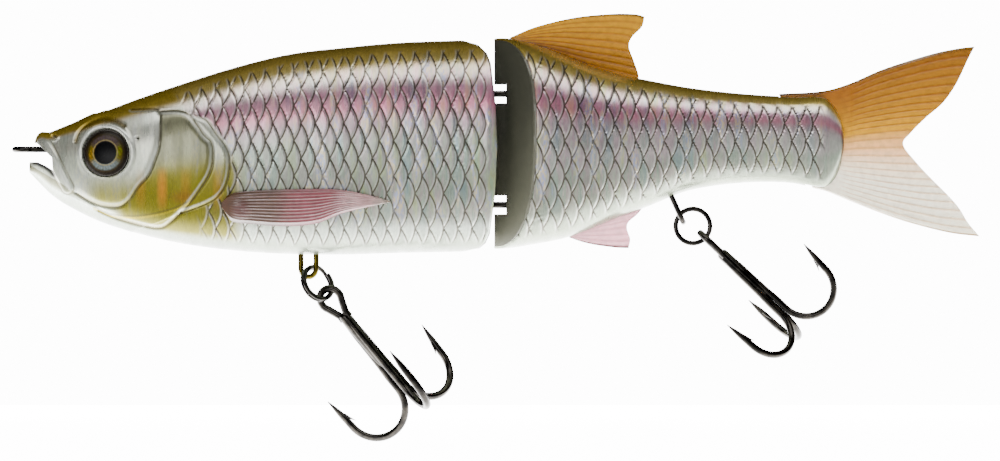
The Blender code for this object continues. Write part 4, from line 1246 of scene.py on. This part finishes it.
def build_tail(material):
    """The soft tail in one piece from its tongue in the slot to its two lobes."""
    top = ((141.6, 10.4), (149.6, 10.9), (155.0, 12.4), (161.3, 15.1), (169.9, 17.8), (175.0, 18.9),
           (178.3, 19.3))
    bottom = ((147.9, -7.2), (150.6, -7.9), (155.0, -9.7), (160.9, -12.0), (166.3, -13.8), (173.5, -15.6),
              (179.2, -16.3))
    front = (top[0], (144.8, 1.6), bottom[0])
    rear = (top[-1], (177.1, 17.0), (174.9, 12.4), (172.4, 8.8), (169.2, 6.0), (166.3, 3.1), (164.9, 0.9),
            (167.4, -2.5), (169.9, -5.2), (173.1, -8.4), (175.3, -10.9), (177.1, -13.8), bottom[-1])
    grid, s, _ = patch(edge_of(top), edge_of(bottom), edge_of(front), edge_of(rear), 190, 120)
    x = grid[..., 0]
    rays = wave(s, 23.0) ** 9
    way = np.clip((x - 155.0) / 24.0, 0.0, 1.0)
    half = 1.15 - 0.95 * way**0.75 + 0.07 * rays * step_up(way, 0.0, 0.08)
    half = half * (0.45 + 0.55 * np.minimum(np.minimum(s, 1.0 - s) * 60.0, 1.0))
    shown = rays * step_up(x, 152.0, 155.0)
    lower = step_up(s, 0.35, 0.6)
    piece = plate("tail_fin_blade", grid, half, material, paint(
        ramp_colours(TAIL_TONES, s.ravel()),
        ((124, 84, 24), 0.7 * (1.0 - step_up(s, 0.05, 0.3)) * (1.0 - step_up(x, 151.0, 162.0))),
        ((104, 66, 8), 0.75 * shown * (1.0 - lower)),
        ((176, 140, 100), 0.7 * shown * lower),
        ((96, 74, 34), 1.0 - step_up(s, 0.006, 0.018)),
        ((150, 124, 90), step_up(s, 0.985, 0.996)),
        ((92, 66, 30), (1.0 - step_up(x, 149.0, 151.5)) * (1.0 - step_up(s, 0.02, 0.2))),
    ))
    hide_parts("tail_root", "tail_blade")
    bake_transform(piece)


def build_pectoral_fins(material):
    """A fin that follows the side of the body, on each side, with its round boss."""
    front, rear = ((top, bottom) for top, bottom in zip(PECTORAL_TOP[::6], PECTORAL_BOTTOM[::6]))
    for name, side in (("left", -1), ("right", 1)):
        grid, s, t = patch(edge_of(front, False), edge_of(rear, False), edge_of(PECTORAL_TOP),
                           edge_of(PECTORAL_BOTTOM), 170, 60)
        rays = wave(t, 11.0) ** 4 * step_up(s, 0.05, 0.2)
        edge = np.minimum(np.minimum(t, 1.0 - t) * 10.0, 1.0)
        boss = bump(spot_distance(PECTORAL_BOSS, grid[..., 0], grid[..., 1]) - 0.6, 1.8)
        thickness = (1.1 - 0.55 * s) * (0.35 + 0.65 * edge) + 0.1 * rays + 0.35 * boss
        skin = half_width(FRONT_OUTLINE, grid[..., 0], grid[..., 1]) + 0.25
        colours = paint(
            plain((72, 48, 34), s.size),
            ((126, 70, 76), step_up(s, 0.3, 0.5)),
            ((196, 166, 166), step_up(s, 0.62, 0.82)),
            ((226, 222, 214), step_up(s, 0.84, 1.0)),
            ((206, 186, 186), 0.5 * rays),
            ((96, 66, 66), 0.6 * boss),
        )
        piece = plate(f"{name}_pectoral_blade", grid, 0.5 * thickness, material, colours,
                      side * (skin + 0.5 * thickness))
        attach(piece, "front_section", "mauve_fin", f"{name}_pectoral_fin")


# ---------------------------------------------------------------- wires, rings and hooks

def wire_piece(name, parts, material, body, node, slot_name):
    """A piece of wire that stands for one CAD node."""
    points, faces = join_parts(parts)
    piece = make_piece(name, points, faces, [material])
    piece.data.set_sharp_from_angle(angle=math.radians(50))
    attach(piece, body, slot_name, node)


def loop_path(centre, out, side, radius, length, steps=28):
    """A closed loop: half a turn about centre toward out, then two legs back to a cross bar."""
    centre, out, side = Vector(centre), Vector(out), Vector(side)
    path = []
    for step in range(steps + 1):
        angle = math.pi * step / steps - 0.5 * math.pi
        path.append(centre + out * (radius * math.cos(angle)) + side * (radius * math.sin(angle)))
    corner = radius - 0.5
    path.append(centre - out * (length - 0.8) + side * radius)
    path.append(centre - out * length + side * corner)
    path.append(centre - out * length - side * corner)
    path.append(centre - out * (length - 0.8) - side * radius)
    return path


def build_wires(bronze, steel):
    """Line tie, hinge eyes and hook hangers."""
    legs = ((2.3, 0.85), (9.2, 0.85), (10.2, 1.1), (10.6, 2.3))
    path = [(x, y, 0.0) for x, y in reversed(legs)]
    for step in range(37):
        angle = math.radians(40.0 + 280.0 * step / 36)
        path.append((LOOP_RADIUS * math.cos(angle), LOOP_RADIUS * math.sin(angle), 0.0))
    path += [(x, -y, 0.0) for x, y in legs]
    wire_piece("line_tie_wire", [tube(path, 0.55, 16, False, (0, 0, 1))], steel, "front_section", "line_tie",
               "dark_wire")
    for name, height in zip(("upper_hinge_eye", "lower_hinge_eye"), HINGE_EYE_HEIGHTS):
        path = loop_path((HINGE_X, 0, height), (1, 0, 0), (0, 1, 0), LOOP_RADIUS, HINGE_X - 82.0)
        wire_piece(name + "_wire", [tube(path, 0.6, 16, True, (0, 0, 1))], steel, "front_section", name,
                   "dark_wire")
    turn = math.radians(32.0)
    side = Vector((math.cos(turn), -math.sin(turn), 0))
    path = loop_path((53.4, 0, -22.2), (0, 0, -1), side, HANGER_RADIUS, 8.7)
    wire_piece("front_hanger_wire", [tube(path, 0.5, 16, True, side.cross(Vector((0, 0, 1))))], bronze,
               "front_section", "front_hook_hanger", "dark_wire")
    lean = math.radians(24.4)
    out = Vector((math.sin(lean), 0, -math.cos(lean)))
    centre = REAR_HANGER_TIP - out * HANGER_RADIUS
    path = loop_path(centre, out, (0, 1, 0), HANGER_RADIUS, 8.3)
    wire_piece("rear_hanger_wire", [tube(path, 0.5, 16, True, out.cross(Vector((0, 1, 0))))], steel,
               "rear_section", "rear_hook_hanger", "dark_wire")


def chain_frame(direction):
    """Unit vectors for a chain direction (x, z): along it, and square to it in the XZ plane."""
    along = Vector((direction[0], 0.0, direction[1])).normalized()
    return along, Vector((along.z, 0.0, -along.x))


def split_ring(name, centre, axis, material, body, node):
    """A ring of two flat coils, joined where the wire steps from one to the other."""
    axis = Vector(axis).normalized()
    first = axis.orthogonal().normalized()
    second = axis.cross(first)
    path = []
    for step in range(133):
        turn = RING_TURNS * step / 132
        angle = 2.0 * math.pi * turn
        rise = (min(max((turn - 0.88) / 0.14, 0.0), 1.0) - 0.5) * 0.6
        spoke = first * math.cos(angle) + second * math.sin(angle)
        path.append(Vector(centre) + spoke * RING_RADIUS + axis * rise)
    coils = tube(path, [RING_WIRE] * len(path), 12, False, axis)
    wire_piece(name, [coils], material, body, node, "black_nickel")


def prong_path():
    """One prong in the hook's own plane as rows of (outward, along, wire radius), from shank to point."""
    rows = [(0.55, 1.1, 0.63)]
    rows += [(out, way, HOOK_WIRE) for out, way in ((0.66, 5.0), (0.7, 8.0), (0.76, 11.5), (0.95, 14.5))]
    for step in range(29):
        angle = math.pi * (1.0 - step / 28)
        out, way = BEND_RADIUS * math.cos(angle), BEND_RADIUS * math.sin(angle)
        rows.append((BEND_CENTRE[0] + out, BEND_CENTRE[1] + way, HOOK_WIRE))
    rows += [(12.9, 15.2, 0.64), (13.02, 14.0, 0.56), (13.2, 12.4, 0.34), (13.4, 10.8, 0.07)]
    return rows


def barb_path():
    """The small barb that is raised from the inside of the bend, as (outward, along, radius)."""
    return [(12.5, 14.6, 0.3), (12.1, 15.7, 0.24), (11.45, 16.9, 0.04)]


def treble_hook(name, eye_top, along, eye_side, zero_side, angles, scale, material, body, node):
    """Eye, shank and three prongs."""
    eye_top = Vector(eye_top)
    join = eye_top + along * (5.8 * scale)
    rows = [(-0.74, 6.8), (-0.76, 5.6)]
    for step in range(31):
        angle = math.radians(-125.0 + 250.0 * step / 30)
        rows.append((HOOK_EYE_RADIUS * math.sin(angle), HOOK_EYE_RADIUS * (1.0 - math.cos(angle))))
    rows += [(0.76, 5.6), (0.74, 6.8)]
    path = [eye_top + eye_side * (side * scale) + along * (way * scale) for side, way in rows]
    parts = [tube(path, HOOK_WIRE * scale, 14, False, along.cross(eye_side))]
    shank = ((-0.3, 0.7), (0.1, 1.05), (0.6, 1.15), (9.6, 1.1), (11.6, 1.0), (12.4, 0.7))
    path = [join + along * (way * scale) for way, _ in shank]
    parts.append(tube(path, [size * scale for _, size in shank], 18))
    third_side = along.cross(zero_side)
    for degrees in angles:
        angle = math.radians(degrees)
        outward_side = zero_side * math.cos(angle) + third_side * math.sin(angle)
        for rows, sides in ((prong_path(), 14), (barb_path(), 8)):
            path = [join + outward_side * (out * scale) + along * (way * scale) for out, way, _ in rows]
            parts.append(tube(path, [size * scale for _, _, size in rows], sides, False, outward_side))
    wire_piece(name, parts, material, body, node, "black_nickel")


def build_tackle(ring, hook):
    """Both split rings and both treble hooks."""
    sideways = Vector((0, 1, 0))
    _, across = chain_frame((0.545, -0.839))
    turn = math.radians(45.0)
    axis = across * math.cos(turn) + sideways * math.sin(turn)
    split_ring("front_ring_coils", (55.1, -0.3, -25.1), axis, ring, "front_ring", "front_split_ring")
    shank, shank_across = chain_frame((0.634, -0.773))
    turn = math.radians(24.0)
    eye_side = shank_across * math.cos(turn) + sideways * math.sin(turn)
    prongs = (19.0, 139.0, 259.0)
    treble_hook("front_treble", (56.23, 0.03, -26.46), shank, eye_side, shank_across, prongs, 1.0,
                hook, "front_hook", "front_treble_hook")
    along, _ = chain_frame((0.93, -0.37))
    centre = REAR_HANGER_TIP + along * 1.95
    split_ring("rear_ring_coils", centre, sideways, ring, "rear_ring", "rear_split_ring")
    shank, shank_across = chain_frame((0.725, -0.688))
    prongs = (77.0, 197.0, 317.0)
    treble_hook("rear_treble", centre + shank * 1.95, shank, sideways, shank_across, prongs, 0.925,
                hook, "rear_hook", "rear_treble_hook")


# ---------------------------------------------------------------- stage, light and camera

def build_stage():
    """A pale floor that glows faintly, and brightly in a band behind the body to light it from behind, a
    white backdrop all round, three soft lights and the camera.
    """
    floor = two_tone("stage_white", (250, 250, 250), (253, 253, 253), 0.9)
    shader = floor.node_tree.nodes["Principled BSDF"]
    shader.inputs["Emission Color"].default_value = (1.0, 1.0, 1.0, 1.0)
    tree = floor.node_tree
    split = tree.nodes.new("ShaderNodeSeparateXYZ")
    tree.links.new(object_coords(tree), split.inputs[0])
    # A glowing patch: the floor shines at BACKDROP_GLOW in a band behind the body, lighting it from behind,
    # and at FLOOR_GLOW elsewhere.
    behind = Signal(tree, stepped(tree, split.outputs["Y"], -0.05, 0.03, 0.0, BACKDROP_GLOW))
    aside = (Signal(tree, split.outputs["X"]) - 0.09).maths("ABSOLUTE")
    narrow = Signal(tree, stepped(tree, aside.socket, 0.16, 0.4, 1.0, 0.0))
    tree.links.new((behind * narrow + FLOOR_GLOW).socket, shader.inputs["Emission Strength"])
    points = [(x, y, FLOOR_LEVEL) for y in (-FLOOR_REACH, FLOOR_REAR) for x in (-FLOOR_REACH, FLOOR_REACH)]
    stage = make_piece("stage_floor", points, grid_faces(2, 2), [floor])
    world = bpy.data.worlds.new("studio")
    world.use_nodes = True
    background = world.node_tree.nodes["Background"]
    background.inputs[0].default_value = (1.0, 1.0, 1.0, 1.0)
    background.inputs[1].default_value = BACKDROP_GLOW
    world.cycles_visibility.diffuse = False
    world.cycles_visibility.glossy = False
    world.cycles_visibility.scatter = False
    bpy.context.scene.world = world
    for name, place, target, size, power in LAMPS:
        lamp = bpy.data.lights.new(name, "AREA")
        lamp.shape = "RECTANGLE"
        lamp.size, lamp.size_y = size
        lamp.energy = power
        item = bpy.data.objects.new(name, lamp)
        item.location = place
        item.visible_camera = False
        item.rotation_euler = (Vector(target) - Vector(place)).to_track_quat("-Z", "Y").to_euler()
        bpy.context.scene.collection.objects.link(item)
    camera = bpy.data.cameras.new("camera")
    camera.lens = CAMERA_LENS
    camera.sensor_width = 36.0
    item = bpy.data.objects.new("camera", camera)
    item.location = CAMERA_PLACE
    item.rotation_euler = (0.5 * math.pi, 0.0, 0.0)
    bpy.context.scene.collection.objects.link(item)
    bpy.context.scene.camera = item


def build_looks(nodes):
    """Every visual piece of the swimbait, and materials for the CAD pieces that stay."""
    skin = skin_material()
    face = two_tone("joint_face_olive", (92, 92, 84), (110, 110, 100), 0.45, 0.2, 0.3, (60, 60, 60))
    inside = two_tone("inner_dark", (30, 30, 28), (44, 44, 40), 0.6)
    bronze = two_tone("dark_bronze_wire", (62, 56, 36), (92, 84, 54), 0.28, 1.0)
    nickel = two_tone("black_nickel_metal", (34, 33, 32), (58, 56, 53), 0.22, 1.0, 0.1)
    pin = two_tone("pin_steel_metal", (120, 118, 112), (150, 148, 142), 0.32, 1.0)
    lead = two_tone("ballast_lead", (92, 94, 98), (120, 122, 126), 0.5, 1.0)
    rim = two_tone("eye_rim_dark", (26, 22, 18), (46, 38, 28), 0.3, 0.2, 0.6)
    build_front_skin([skin, face, inside])
    build_rear_skin([skin, face, inside])
    build_eyes(less_shine(painted("eye_resin_foil", 0.3, 0.0, 0.0, 0.0, 0.2, (2600, 2600, 2600)), 0.12), rim)
    build_dorsal_fin(painted("amber_fin_plastic", 0.35, 0.0, 0.5, 0.25))
    build_anal_fin(painted("pink_fin_plastic", 0.4, 0.0, 0.4, 0.3))
    build_pectoral_fins(painted("mauve_fin_plastic", 0.35, 0.0, 0.6, 0.2))
    build_tail(painted("soft_tail_plastic", 0.4, 0.0, 0.5, 0.25))
    build_wires(bronze, nickel)
    build_tackle(nickel, nickel)
    for material, names in ((pin, ("hinge_pin", "tail_lock_pin")),
                            (lead, ("front_ballast_fore", "front_ballast_aft", "rear_ballast"))):
        for name in names:
            nodes[name].data.materials.clear()
            nodes[name].data.materials.append(material)


def corners(box):
    """A box as plain lists."""
    return [[float(part) for part in corner] for corner in box]


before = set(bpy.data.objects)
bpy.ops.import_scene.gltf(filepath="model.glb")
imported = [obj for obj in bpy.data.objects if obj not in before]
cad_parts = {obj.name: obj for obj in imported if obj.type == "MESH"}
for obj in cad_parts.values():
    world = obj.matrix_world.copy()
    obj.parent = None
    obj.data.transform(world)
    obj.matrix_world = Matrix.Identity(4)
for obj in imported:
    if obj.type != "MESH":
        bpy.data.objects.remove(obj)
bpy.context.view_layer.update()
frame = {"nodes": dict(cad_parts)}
build_looks(frame["nodes"])
build_stage()
